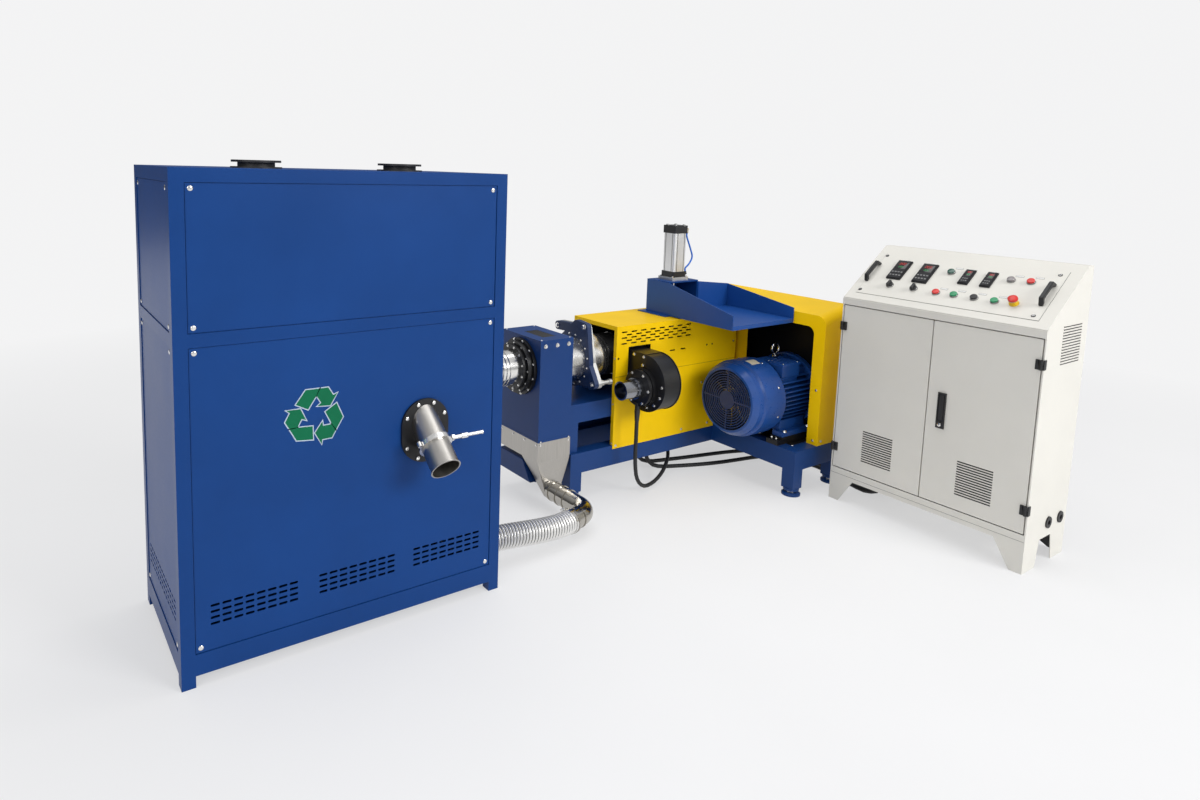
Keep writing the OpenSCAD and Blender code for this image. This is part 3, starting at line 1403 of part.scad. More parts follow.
cabinet_frame();
front_panels();
side_and_back_panels();
duct_ports();
outlet_flange();
outlet_pipe();
outlet_clamp();
hose_inlet();
base_frame();
support_table();
cutter_housing();
cutter_flange();
cutter_motor();
discharge_chute();
chute_elbow();
transfer_hose();
die_head();
clamp_plate();
hinge_plate();
barrel();
barrel_cover();
blower_housing();
blower_flange();
blower_ring();
blower_cable();
cable_entry();
feed_tray();
feed_box();
ram_cylinder();
ram_base();
ram_plunger();
air_fittings();
air_tube();
fan_cover();
fan_grille();
motor_fan();
motor_body();
motor_feet();
terminal_box();
lifting_eye();
motor_base();
drive_guard();
supply_cable_front();
supply_cable_rear();
console_body();
console_feet();
left_door();
right_door();
door_lock();
console_hinges();
left_door_leaves();
right_door_leaves();
bridge_handles();
controllers();
push_buttons();
cable_glands();
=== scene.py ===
import bpy
import bmesh
import math
import json
from mathutils import Matrix, Vector


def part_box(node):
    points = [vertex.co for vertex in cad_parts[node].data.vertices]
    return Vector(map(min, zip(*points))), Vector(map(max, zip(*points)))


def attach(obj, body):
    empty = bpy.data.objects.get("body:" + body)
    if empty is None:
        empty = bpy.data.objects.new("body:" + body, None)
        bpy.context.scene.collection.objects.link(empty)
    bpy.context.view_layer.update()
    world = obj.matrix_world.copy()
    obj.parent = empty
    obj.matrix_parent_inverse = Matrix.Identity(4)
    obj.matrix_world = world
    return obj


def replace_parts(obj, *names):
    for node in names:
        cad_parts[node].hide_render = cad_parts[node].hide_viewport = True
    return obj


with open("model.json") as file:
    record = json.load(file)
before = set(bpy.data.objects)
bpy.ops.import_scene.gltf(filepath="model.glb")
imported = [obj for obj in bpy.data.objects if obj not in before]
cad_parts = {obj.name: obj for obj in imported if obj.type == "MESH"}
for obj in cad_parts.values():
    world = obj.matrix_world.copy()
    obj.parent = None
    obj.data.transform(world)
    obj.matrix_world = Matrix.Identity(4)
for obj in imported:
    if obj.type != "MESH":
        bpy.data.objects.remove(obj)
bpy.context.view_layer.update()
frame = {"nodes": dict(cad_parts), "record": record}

# ---------------- places

CABINET_CORNER = Vector((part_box("cabinet_frame")[0][0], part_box("cabinet_frame")[0][1], 0.0))


def at(x, y, z):
    """A point in millimetres from the pellet cabinet's front left corner, in the row frame."""
    return CABINET_CORNER + Vector((x, y, z)) / 1000


# ---------------- finishes


class Level:
    """A number or colour that varies over a surface. Arithmetic on it adds Math nodes."""

    def __init__(self, shading, socket):
        self.shading = shading
        self.socket = socket

    def _with(self, operation, other, swapped=False):
        pair = [other, self] if swapped else [self, other]
        return self.shading.add("ShaderNodeMath", {"operation": operation}, *pair)

    def __add__(self, other):
        return self._with("ADD", other)

    def __radd__(self, other):
        return self._with("ADD", other, True)

    def __sub__(self, other):
        return self._with("SUBTRACT", other)

    def __rsub__(self, other):
        return self._with("SUBTRACT", other, True)

    def __mul__(self, other):
        return self._with("MULTIPLY", other)

    def __gt__(self, other):
        return self._with("GREATER_THAN", other)

    def __lt__(self, other):
        return self._with("LESS_THAN", other)

    def __abs__(self):
        return self.shading.add("ShaderNodeMath", {"operation": "ABSOLUTE"}, self)

    def clamp(self):
        return self.shading.add("ShaderNodeClamp", {}, self)


class Shading:
    """A node tree. add() makes any node and returns its first output, or the one that is asked for."""

    def __init__(self, tree):
        self.tree = tree

    def add(self, kind, settings, *values, out=0, **named):
        node = self.tree.nodes.new(kind)
        for key, value in settings.items():
            setattr(node, key, value)
        for socket, value in zip(node.inputs, values):
            self.join(socket, value)
        for key, value in named.items():
            self.join(node.inputs[key.replace("_", " ")], value)
        return Level(self, node.outputs[out])

    def join(self, socket, value):
        if isinstance(value, Level):
            self.tree.links.new(value.socket, socket)
        elif value is not None:
            if socket.type == "RGBA" and len(value) == 3:
                value = (*value, 1)
            socket.default_value = value

    def seen(self):
        """1 for what the camera, a mirror or a pane looks at, 0 for light on other surfaces."""
        path = self.add("ShaderNodeLightPath", {}).socket.node.outputs
        kinds = ("Is Camera Ray", "Is Glossy Ray", "Is Transmission Ray")
        rays = [Level(self, path[kind]) for kind in kinds]
        return (rays[0] + rays[1] + rays[2]).clamp()

    def place(self):
        return self.add("ShaderNodeTexCoord", {}, out=3)

    def axes(self):
        split = self.add("ShaderNodeSeparateXYZ", {}, self.place())
        return [split, Level(self, split.socket.node.outputs[1]), Level(self, split.socket.node.outputs[2])]

    def stretched(self, scale, place=None):
        return self.add("ShaderNodeMapping", {}, place or self.place(), Scale=scale)

    def noise(self, scale, detail, rough=0.5):
        return self.add("ShaderNodeTexNoise", {}, self.place(), Scale=scale, Detail=detail, Roughness=rough)

    def brush_lines(self, along):
        """Fine noise drawn out along one axis (0 = X, 1 = Y, 2 = Z)."""
        scale = [900.0, 900.0, 900.0]
        scale[along] = 9.0
        return self.add("ShaderNodeTexNoise", {}, self.stretched(scale), Scale=1.0, Detail=3.0, Roughness=0.6)

    def mix(self, share, low, high):
        node = self.tree.nodes.new("ShaderNodeMix")
        node.data_type = "RGBA"
        for socket, value in ((node.inputs[0], share), (node.inputs[6], low), (node.inputs[7], high)):
            self.join(socket, value)
        return Level(self, node.outputs[2])

    def bump(self, height, depth, strength=1.0):
        return self.add("ShaderNodeBump", {}, Height=height, Distance=depth, Strength=strength)

    def band(self, level, low, high):
        """0 below low, 1 above high."""
        return self.add("ShaderNodeMapRange", {"clamp": True}, level, low, high, 0.0, 1.0)

    def inside_of(self, middle):
        """1 on the faces of a shell that look towards its middle."""
        place = self.add("ShaderNodeNewGeometry", {})
        face = Level(self, place.socket.node.outputs["True Normal"])
        away = self.add("ShaderNodeVectorMath", {"operation": "SUBTRACT"}, place, tuple(middle))
        return self.add("ShaderNodeVectorMath", {"operation": "DOT_PRODUCT"}, face, away, out=1) < 0.0

    def round_the(self, middle):
        """Distance from an axis along X through middle."""
        away = self.add("ShaderNodeVectorMath", {"operation": "SUBTRACT"}, self.place(), tuple(middle))
        across = self.stretched((0.0, 1.0, 1.0), away)
        return self.add("ShaderNodeVectorMath", {"operation": "LENGTH"}, across, out=1)


class Finish(Shading):
    """One material, with what its shader is set to."""

    def __init__(self, name, **shader):
        self.material = bpy.data.materials.new(name)
        self.material.use_nodes = True
        super().__init__(self.material.node_tree)
        self.bsdf = self.tree.nodes["Principled BSDF"]
        self.set(**shader)

    def set(self, **shader):
        for key, value in shader.items():
            self.join(self.bsdf.inputs[key.replace("_", " ")], value)


def shade(colour, factor):
    return tuple(min(1.0, c * factor) for c in colour)


def enamel(name, colour, rough, dust=0.25, shine=0.16, hollow_shade=None):
    """Sprayed paint: slight orange peel, patchy gloss and a veil of dust towards the floor.
    Given a shell's middle, its inside gets painted shade, near black."""
    f = Finish(name, Specular_IOR_Level=shine)
    patches = f.noise(2.6, 4, 0.6)
    speck = f.noise(90, 2, 0.5)
    high = f.axes()[2]
    low_dust = (1 - f.band(high, 0.02, 0.55)) * f.band(f.noise(7, 5, 0.65), 0.38, 0.75) * dust
    colour_now = f.mix(f.band(patches, 0.3, 0.72), shade(colour, 0.93), shade(colour, 1.07))
    colour_now = f.mix(low_dust, colour_now, shade(colour, 1.25))
    # Painted shade: the faces inside the shell turn near black
    if hollow_shade:
        colour_now = f.mix(f.inside_of(hollow_shade), colour_now, (0.010, 0.010, 0.012))
    f.set(Base_Color=colour_now, Roughness=rough + patches * 0.10 + speck * 0.05 - 0.08 + low_dust * 0.3,
          Normal=f.bump(f.noise(240, 2, 0.5), 0.00012))
    return f.material


def textured_coat(name, colour, rough):
    """Fine structured powder coat of a switch cabinet."""
    f = Finish(name)
    patches = f.noise(1.8, 4, 0.6)
    grain = f.noise(700, 3, 0.7)
    colour_now = f.mix(f.band(patches, 0.3, 0.7), shade(colour, 0.96), shade(colour, 1.03))
    colour_now = f.mix(f.band(grain, 0.55, 0.8) * 0.25, colour_now, shade(colour, 0.8))
    f.set(Base_Color=colour_now, Roughness=rough + grain * 0.12, Normal=f.bump(grain, 0.00012))
    return f.material


def brushed(name, colour, rough, along):
    """Metal with fine brush lines that run along one axis (0 = X, 1 = Y, 2 = Z)."""
    f = Finish(name, Metallic=1.0)
    lines = f.brush_lines(along)
    patches = f.noise(5, 4, 0.6)
    f.set(Base_Color=f.mix(f.band(lines, 0.3, 0.7), shade(colour, 0.82), shade(colour, 1.08)),
          Roughness=rough + lines * 0.16 + patches * 0.12 - 0.12, Normal=f.bump(lines, 0.00005))
    return f.material


def polished(name, colour, rough):
    f = Finish(name, Metallic=1.0)
    smear = f.noise(14, 5, 0.65)
    f.set(Base_Color=f.mix(f.band(smear, 0.35, 0.7), shade(colour, 0.9), shade(colour, 1.05)),
          Roughness=rough + f.band(smear, 0.4, 0.8) * 0.14)
    return f.material


def casting(name, colour, rough, metallic=0.0, depth=0.0006, fine=120, hollow_shade=None, chamber_shade=None):
    """Painted or bare casting with a sandy skin. Given a shell's middle, its inside gets painted shade.
    A round space given as (axis, radius, to x) gets painted shade as well."""
    f = Finish(name, Metallic=metallic)
    sand = f.noise(fine, 4, 0.7)
    patches = f.noise(6, 4, 0.6)
    # Painted shade, near black, for the inside of a shell and of the round space
    dark = (0.005, 0.006, 0.009)
    colour_now = f.mix(f.band(patches, 0.3, 0.7), shade(colour, 0.86), shade(colour, 1.1))
    if hollow_shade:
        colour_now = f.mix(f.inside_of(hollow_shade), colour_now, dark)
    if chamber_shade:
        axis, radius, end = chamber_shade
        colour_now = f.mix((f.round_the(axis) < radius) * (f.axes()[0] < end), colour_now, dark)
    f.set(Base_Color=colour_now,
          Roughness=rough + sand * 0.2 - 0.06, Normal=f.bump(sand, depth, 0.6))
    return f.material


def ram_finish():
    """Anodised ram tube with painted shade along its long grooves, between two black end caps."""
    f = Finish("ram tube and caps")
    x, y, z = f.axes()
    middle = at(2865, 705, 0)
    tube_low, tube_high, groove_out = 1.150, 1.373, 0.027
    tube = (z > tube_low) * (z < tube_high)
    front_groove_shade = f.band(abs(abs(x - middle.x) - groove_out), 0.004, 0.002)
    side_groove_shade = f.band(abs(abs(y - middle.y) - groove_out), 0.004, 0.002)
    lines = f.brush_lines(2)
    silver = f.mix(f.band(lines, 0.3, 0.7), (0.82, 0.82, 0.82), (0.95, 0.95, 0.95))
    # Painted shade: the silver turns near black along the grooves
    silver = f.mix((front_groove_shade + side_groove_shade).clamp() * 0.75, silver, (0.10, 0.10, 0.10))
    f.set(Base_Color=f.mix(tube, (0.012, 0.012, 0.013), silver), Metallic=tube,
          Roughness=0.24 + lines * 0.14, Normal=f.bump(lines, 0.00004))
    return f.material


RAM_MIDDLE_Z = 1.25


def plastic(name, colour, rough, upper=None, gloss=0.5):
    """A moulding. upper is its colour above the ram's middle, gloss the share of light it mirrors."""
    f = Finish(name, Specular_IOR_Level=gloss)
    grain = f.noise(420, 2, 0.6)
    patches = f.noise(9, 3, 0.6)
    colour_now = f.mix(f.band(patches, 0.3, 0.7), shade(colour, 0.85), shade(colour, 1.15))
    if upper:
        colour_now = f.mix(f.axes()[2] > RAM_MIDDLE_Z, colour_now, upper)
    f.set(Base_Color=colour_now,
          Roughness=rough + grain * 0.15, Normal=f.bump(grain, 0.00008))
    return f.material


def ink(name, colour):
    """Screen-printed ink, slightly uneven."""
    f = Finish(name, Specular_IOR_Level=0.15)
    f.set(Base_Color=f.mix(f.band(f.noise(12, 3, 0.5), 0.3, 0.7), shade(colour, 0.93), shade(colour, 1.06)),
          Roughness=0.42 + f.noise(60, 2) * 0.08)
    return f.material


def signal(name, colour, rough=0.28, glow=0.0):
    """Coloured moulding of a button, lamp or display."""
    f = Finish(name)
    grain = f.noise(300, 2, 0.5)
    colour_now = f.mix(f.band(f.noise(40, 3, 0.5), 0.3, 0.7), shade(colour, 0.88), shade(colour, 1.08))
    f.set(Base_Color=colour_now, Roughness=rough + grain * 0.08)
    if glow:
        f.set(Emission_Color=colour_now, Emission_Strength=glow)
    return f.material


NAVY = (0.004, 0.022, 0.085)
PANEL_BLUE = (0.0045, 0.046, 0.200)
MOTOR_BLUE = (0.011, 0.064, 0.265)
YELLOW = (0.92, 0.58, 0.003)
DESK_GREY = (0.695, 0.677, 0.622)
# Middles of shells, and the round space at the fan, whose insides get painted shade
COVER_MIDDLE, GUARD_MIDDLE, FAN_COVER_MIDDLE = at(2747, 695, 500), at(3369, 415, 560), at(2950, 250, 490)
MOTOR_FRONT = at(2856, 250, 490)
FAN_CHAMBER_SHADE = (MOTOR_FRONT, 0.2075, MOTOR_FRONT.x + 0.205)

finishes = {
    "blue_frame": enamel("blue tube enamel", shade(PANEL_BLUE, 0.95), 0.34),
    "blue_panel": enamel("blue sheet powder coat", PANEL_BLUE, 0.36),
    "blue_machine": enamel("blue machine enamel", (0.007, 0.043, 0.175), 0.36, shine=0.25),
    "black_plastic": plastic("black moulding", (0.014, 0.014, 0.015), 0.45),
    "black_paint": enamel("black enamel", (0.010, 0.010, 0.011), 0.34, shine=0.4),
    "stainless": brushed("stainless sheet", (0.47, 0.45, 0.42), 0.30, 2),
    "polished_steel": polished("polished steel", (0.80, 0.79, 0.77), 0.14),
    "hose_steel": brushed("corrugated hose steel", (0.90, 0.89, 0.87), 0.42, 0),
    "machined_steel": polished("turned steel", (0.74, 0.73, 0.71), 0.22),
    "navy_cast": casting("navy cast enamel", NAVY, 0.42),
    "cast_silver": casting("machined casting", (0.62, 0.62, 0.60), 0.40, 0.9, 0.0003),
    "heater_black": casting("heater band black", (0.015, 0.015, 0.016), 0.55),
    "yellow_paint": enamel("yellow sheet powder coat", YELLOW, 0.34, dust=0.0, shine=0.14),
    "cable_rubber": plastic("cable sheath", (0.010, 0.010, 0.011), 0.5),
    "ram_aluminium": ram_finish(),
    "air_blue": plastic("blue air hose", (0.01, 0.13, 0.55), 0.25),
    "motor_blue": casting("motor enamel", MOTOR_BLUE, 0.30, 0.0, 0.0004, 70),
    "fan_plastic": polished("cast fan", (0.42, 0.42, 0.43), 0.2),
    "grey_paint": textured_coat("desk powder coat", DESK_GREY, 0.42),
    "instrument": plastic("instrument case", (0.014, 0.014, 0.016), 0.42, gloss=0.22),
    "chrome_trim": polished("satin bezels", (0.34, 0.34, 0.335), 0.18),
}
special_finishes = {
    # Painted shade: the cover and the guard are near black on their inside faces
    "barrel_cover": enamel("yellow cover, painted shade inside", YELLOW, 0.34, dust=0.0, shine=0.14,
                           hollow_shade=COVER_MIDDLE),
    "drive_guard": enamel("yellow guard, painted shade inside", YELLOW, 0.34, dust=0.0, shine=0.14,
                          hollow_shade=GUARD_MIDDLE),
    # Painted shade inside the fan cover
    "fan_cover": casting("fan cover enamel, painted shade inside", MOTOR_BLUE, 0.26, 0.0, 0.0002, 70, hollow_shade=FAN_COVER_MIDDLE),
    # A darker copy of the motor blue: painted shade on the grille inside the cover
    "fan_grille": casting("grille enamel in painted shade", shade(MOTOR_BLUE, 0.42), 0.34, 0.0, 0.0002, 70),
    # Painted shade on the end shield behind the fan
    "motor_body": casting("ribbed frame enamel, painted shade at the fan", MOTOR_BLUE, 0.30, 0.0, 0.0004, 70, chamber_shade=FAN_CHAMBER_SHADE),
    # A lighter copy of the panel blue: painted light falling into the tray from above
    "feed_tray": enamel("tray enamel, painted top light", shade(PANEL_BLUE, 1.25), 0.40, dust=0.0, shine=0.45),
    "blower_ring": polished("dark drawn pipe", (0.34, 0.35, 0.38), 0.1),
    "chute_elbow": polished("welded elbow", (0.47, 0.45, 0.41), 0.12),
    "air_fittings": plastic("air fitting", (0.014, 0.014, 0.015), 0.4, upper=(0.50, 0.44, 0.34)),
}
for subpart in frame["record"]["subparts"]:
    node_name = subpart["node"]
    finish = special_finishes.get(node_name, finishes[subpart["material_slot"]])
    for material_slot in frame["nodes"][node_name].material_slots:
        material_slot.material = finish

bright = finishes["polished_steel"]
steel = finishes["machined_steel"]
rubber = finishes["cable_rubber"]
black_moulding = finishes["black_plastic"]

# ---------------- camera

camera = bpy.data.objects.new("camera", bpy.data.cameras.new("camera"))
bpy.context.scene.collection.objects.link(camera)
camera.data.sensor_width = 36
camera.data.lens = 23.377
camera.data.shift_x = 0.0668
camera.data.shift_y = -0.1148
camera.data.clip_end = 60
turn = (Matrix.Rotation(-0.5994, 4, "Z") @ Matrix.Rotation(math.pi / 2 - 0.1202, 4, "X")
        @ Matrix.Rotation(0.0267, 4, "Z"))
camera.matrix_world = Matrix.Translation(at(-446.6, -2538.1, 1724.4)) @ turn
bpy.context.scene.camera = camera

# ---------------- floor, world and lamps

bpy.context.scene.view_settings.view_transform = "Standard"
PALE = (0.90, 0.90, 0.905)
COOL_WHITE = (0.95, 0.96, 0.98)

world = bpy.data.worlds.new("studio")
bpy.context.scene.world = world
world.use_nodes = True
studio = Shading(world.node_tree)
background = studio.tree.nodes["Background"]
soft_light = Level(studio, background.outputs[0])
studio.join(background.inputs[0], COOL_WHITE)
studio.join(background.inputs[1], 0.5)
backdrop = studio.add("ShaderNodeBackground", {}, PALE, 1.0)
# What metal mirrors is a dim hall, brighter overhead, in front and to the right
x, y, z = studio.axes()
overhead, in_front = studio.band(z, 0.15, 0.75), studio.band(0.0 - y, 0.35, 0.95)
to_the_right = studio.band(x, 0.5, 0.95)
hall = 0.10 + overhead * 0.55 + in_front * 0.45 + to_the_right * 0.25
mirrored = studio.add("ShaderNodeBackground", {}, COOL_WHITE, hall)
ways = studio.add("ShaderNodeLightPath", {}).socket.node.outputs
mirrors = Level(studio, ways["Is Glossy Ray"])
lit = studio.add("ShaderNodeMixShader", {}, studio.seen(), soft_light, backdrop)
studio.join(studio.tree.nodes["World Output"].inputs[0],
            studio.add("ShaderNodeMixShader", {}, mirrors, lit, mirrored))

floor_mesh = bpy.data.meshes.new("floor")
floor_mesh.from_pydata([(-14, -14, 0), (14, -14, 0), (14, 14, 0), (-14, 14, 0)], [], [(0, 1, 2, 3)])
floor = bpy.data.objects.new("floor", floor_mesh)
bpy.context.scene.collection.objects.link(floor)
ground = Finish("floor paint", Roughness=0.6)
floor_patches = ground.band(ground.noise(0.7, 3, 0.5), 0.3, 0.7)
ground.set(Base_Color=ground.mix(floor_patches, (0.78, 0.78, 0.785), (0.84, 0.84, 0.845)))
# The floor fades into the backdrop with its distance from the machine
away = ground.add("ShaderNodeVectorMath", {"operation": "LENGTH"}, ground.place(), out=1)
glow = ground.add("ShaderNodeEmission", {}, PALE, 1.0)
share = ground.seen() * (0.58 + ground.band(away, 2.2, 6.5) * 0.42)
ground.join(ground.tree.nodes["Material Output"].inputs[0],
            ground.add("ShaderNodeMixShader", {}, share, Level(ground, ground.bsdf.outputs[0]), glow))
floor_mesh.materials.append(ground.material)


def lamp(name, place, aim, size, power):
    light = bpy.data.lights.new(name, "AREA")
    light.shape = "RECTANGLE"
    light.size, light.size_y = size
    light.energy = power
    holder = bpy.data.objects.new(name, light)
    bpy.context.scene.collection.objects.link(holder)
    holder.location = place
    holder.rotation_euler = (Vector(aim) - Vector(place)).to_track_quat("-Z", "Y").to_euler()


lamp("key softbox", (2.6, -7.0, 4.6), (0, 0, 0.8), (3.4, 3.2), 415)
lamp("side softbox", (-5.2, -2.4, 3.0), (1.0, 0, 0.8), (2.6, 2.2), 68)
lamp("top softbox", (0.2, 0.6, 5.2), (0, 0, 0), (5.0, 3.0), 112)

# ---------------- mesh making

CORNER = Matrix.Translation(CABINET_CORNER) @ Matrix.Scale(0.001, 4)
AXES = {"x": Matrix.Rotation(math.pi / 2, 4, "Y"), "-x": Matrix.Rotation(-math.pi / 2, 4, "Y"),
        "y": Matrix.Rotation(-math.pi / 2, 4, "X"), "-y": Matrix.Rotation(math.pi / 2, 4, "X"),
        "z": Matrix.Identity(4), "-z": Matrix.Rotation(math.pi, 4, "X")}


def facing(place, way):
    """A frame at place, in millimetres, whose Z runs along way: an axis name or a vector."""
    if isinstance(way, str):
        return Matrix.Translation(place) @ AXES[way]
    return Matrix.Translation(place) @ Vector(way).to_track_quat("Z", "Y").to_matrix().to_4x4()


def axes_to(x_way, y_way, z_way):
    """A frame whose X, Y and Z run along three directions."""
    return Matrix((x_way, y_way, z_way)).transposed().to_4x4()


# An outline of (y, z) that is extruded along x, or one of (up the slope, out of it) along the desk
UPRIGHT = axes_to((0, 1, 0), (0, 0, 1), (1, 0, 0))
# An outline of (z, y) that is extruded along x
EDGEWISE = axes_to((0, 0, 1), (0, 1, 0), (1, 0, 0))
# Outlines of (out of the sheet, z): from a door along y, and from the desk's right side along x
OUT_OF_DOOR = axes_to((-1, 0, 0), (0, 0, 1), (0, 1, 0))
OUT_OF_SIDE = axes_to((0, -1, 0), (0, 0, 1), (-1, 0, 0))


def revolve(bm, profile, spot, steps):
    """Turns a profile of (radius, height) pairs round the Z of spot."""
    rings = []
    for radius, height in profile:
        if radius < 1e-6:
            rings.append([bm.verts.new(spot @ Vector((0, 0, height)))])
        else:
            rings.append([bm.verts.new(spot @ Vector((radius * math.cos(2 * math.pi * k / steps),
                                                      radius * math.sin(2 * math.pi * k / steps), height)))
                          for k in range(steps)])
    for low, high in zip(rings, rings[1:]):
        for k in range(steps):
            j = (k + 1) % steps
            if len(low) == 1:
                bm.faces.new((low[0], high[k], high[j]))
            elif len(high) == 1:
                bm.faces.new((low[k], low[j], high[0]))
            else:
                bm.faces.new((low[k], low[j], high[j], high[k]))


def block(bm, size, spot, edge):
    """A box of size (x, y, z) centred on spot, with chamfered edges."""
    made = bmesh.ops.create_cube(bm, size=1.0)["verts"]
    for v in made:
        v.co = Vector((v.co.x * size[0], v.co.y * size[1], v.co.z * size[2]))
    if edge > 0:
        edges = list({e for v in made for e in v.link_edges})
        out = bmesh.ops.bevel(bm, geom=edges, offset=edge, segments=2, affect="EDGES", profile=0.6)
        made = list({v for f in out["faces"] for v in f.verts} | {v for v in made if v.is_valid})
    for v in made:
        v.co = spot @ v.co


def block_at(bm, size, place, edge):
    """A block that isn't turned, with its middle at a place."""
    block(bm, size, Matrix.Translation(place), edge)


def prism(bm, outline, thick, spot):
    """Extrudes a flat outline of (x, y) points by thick along the Z of spot."""
    low = [bm.verts.new(spot @ Vector((x, y, 0))) for x, y in outline]
    high = [bm.verts.new(spot @ Vector((x, y, thick))) for x, y in outline]
    bm.faces.new(list(reversed(low)))
    bm.faces.new(high)
    n = len(outline)
    for k in range(n):
        bm.faces.new((low[k], low[(k + 1) % n], high[(k + 1) % n], high[k]))


def round_edges(bm, offset):
    bmesh.ops.bevel(bm, geom=bm.edges[:], offset=offset, segments=2, affect="EDGES")


def dome(bm, place, way, radius, height):
    """A pan-head screw: a low crown over a short rim."""
    profile = [(0, 0), (radius, 0), (radius, height * 0.35)]
    profile += [(radius * math.cos(a), height * (0.35 + 0.65 * math.sin(a))) for a in (0.5, 0.95, 1.3)]
    revolve(bm, profile + [(0, height)], facing(place, way), 16)


def hex_bolt(bm, place, way, across, height, washer=True):
    """A hexagon head with its chamfered crown, on a washer."""
    spot = facing(place, way)
    if washer:
        thick, wide = height * 0.18, across * 0.72
        revolve(bm, [(0, 0), (wide, 0), (wide, thick), (0, thick)], spot, 20)
    r = across / math.sqrt(3)
    low, shoulder = height * 0.16, height * 0.85
    revolve(bm, [(0, low), (r, low), (r, shoulder), (r * 0.84, height), (0, height)], spot, 6)


def tube_along(bm, path, radius, sides, up=Vector((0, 0, 1))):
    """Sweeps a circle along path, open at both ends. radius is a number, or a function of the share
    of the way."""
    points = [Vector(p) for p in path]
    rings = []
    side = None
    for i, p in enumerate(points):
        ahead = (points[min(i + 1, len(points) - 1)] - points[max(i - 1, 0)]).normalized()
        if side is None:
            side = ahead.cross(up)
            side = side.normalized() if side.length > 0.05 else ahead.cross(Vector((1, 0, 0))).normalized()
        else:
            side = (side - ahead * side.dot(ahead)).normalized()
        over = ahead.cross(side)
        r = radius(i / (len(points) - 1)) if callable(radius) else radius
        turns = [2 * math.pi * k / sides for k in range(sides)]
        rings.append([bm.verts.new(p + side * (r * math.cos(a)) + over * (r * math.sin(a))) for a in turns])
    for a, b in zip(rings, rings[1:]):
        for k in range(sides):
            j = (k + 1) % sides
            bm.faces.new((a[k], b[k], b[j], a[j]))


def rounded(points, per_leg):
    """A smooth curve through points, with per_leg steps between each two."""
    pts = [Vector(p) for p in points]
    out = []
    for i in range(len(pts) - 1):
        a, b, c, d = pts[max(i - 1, 0)], pts[i], pts[i + 1], pts[min(i + 2, len(pts) - 1)]
        for k in range(per_leg):
            t = k / per_leg
            out.append(0.5 * (2 * b + (c - a) * t + (2 * a - 5 * b + 4 * c - d) * t * t
                              + (3 * b - a - 3 * c + d) * t ** 3))
    return out + [pts[-1]]


def piece(name, bm, finish, body="plant", smooth=35):
    """Closes a mesh in millimetres into an object that rides on a body."""
    bmesh.ops.recalc_face_normals(bm, faces=bm.faces)
    mesh = bpy.data.meshes.new(name)
    bm.transform(CORNER)
    bm.to_mesh(mesh)
    bm.free()
    mesh.materials.append(finish)
    made = bpy.data.objects.new(name, mesh)
    bpy.context.scene.collection.objects.link(made)
    if smooth:
        mesh.shade_smooth()
        mesh.set_sharp_from_angle(angle=math.radians(smooth))
    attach(made, body)
    return made


# ---------------- cords


def cord_curve(name, route, per_leg, radius, finish, slot, node, **facts):
    """A free cable along the same route as its solid. It never dips into the floor."""
    line = [Vector((p.x, p.y, max(p.z, radius + 0.5))) for p in rounded(route, per_leg)]
    data = bpy.data.curves.new(name, "CURVE")
    data.dimensions = "3D"
    data.bevel_depth = radius / 1000
    data.bevel_resolution = 4
    data.use_fill_caps = True
    spline = data.splines.new("POLY")
    spline.points.add(len(line) - 1)
    for point, place in zip(spline.points, line):
        point.co = (*at(*place), 1)
    data.materials.append(finish)
    made = bpy.data.objects.new(name, data)
    bpy.context.scene.collection.objects.link(made)
    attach(made, "plant")
    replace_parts(made, node)


BLOWER_ROUTE = [
    (2334, 396, 474), (2334, 396, 414), (2336, 398, 300), (2340, 400, 180), (2362, 402, 85),
    (2425, 412, 30), (2520, 432, 30), (2620, 470, 56), (2730, 545, 86), (2805, 622, 108),
    (2820, 640, 130), (2820, 640, 160)]
FRONT_ROUTE = [
    (2640, 640, 160), (2640, 640, 125), (2654, 636, 70), (2690, 622, 26), (2760, 592, 11),
    (2860, 550, 11), (2980, 505, 11), (3110, 468, 11), (3250, 440, 11), (3370, 415, 11),
    (3470, 365, 11), (3532, 280, 11), (3550, 130, 11), (3532, 0, 11), (3490, -120, 11),
    (3464, -230, 14), (3456, -305, 40), (3455, -336, 80), (3455, -336, 109)]
REAR_ROUTE = [
    (2640, 730, 160), (2640, 730, 125), (2654, 727, 70), (2690, 712, 26), (2760, 690, 11),
    (2860, 664, 11), (2980, 634, 11), (3110, 605, 11), (3250, 572, 11), (3370, 532, 11),
    (3480, 470, 11), (3560, 370, 11), (3590, 230, 11), (3588, 80, 11), (3556, -40, 11),
    (3515, -140, 11), (3498, -240, 14), (3504, -308, 40), (3505, -336, 80), (3505, -336, 109)]
AIR_ROUTE = [
    (2930, 675, 1373.5), (2930, 675, 1350.5), (2964, 675, 1280.5), (2982, 675, 1230.5),
    (2960, 675, 1190.5), (2930, 675, 1166), (2930, 675, 1148)]
cord_curve("blower_lead", BLOWER_ROUTE, 3, 10.5, rubber, "cable_rubber", "blower_cable",
           stiffness="medium", lay="hanging")
cord_curve("supply_lead_front", FRONT_ROUTE, 2, 11.5, rubber, "cable_rubber", "supply_cable_front",
           stiffness="stiff", lay="loose")
cord_curve("supply_lead_rear", REAR_ROUTE, 2, 11.5, rubber, "cable_rubber", "supply_cable_rear",
           stiffness="stiff", lay="loose")
cord_curve("ram_air_hose", AIR_ROUTE, 5, 5, finishes["air_blue"], "air_blue", "air_tube",
           stiffness="medium", lay="loose")

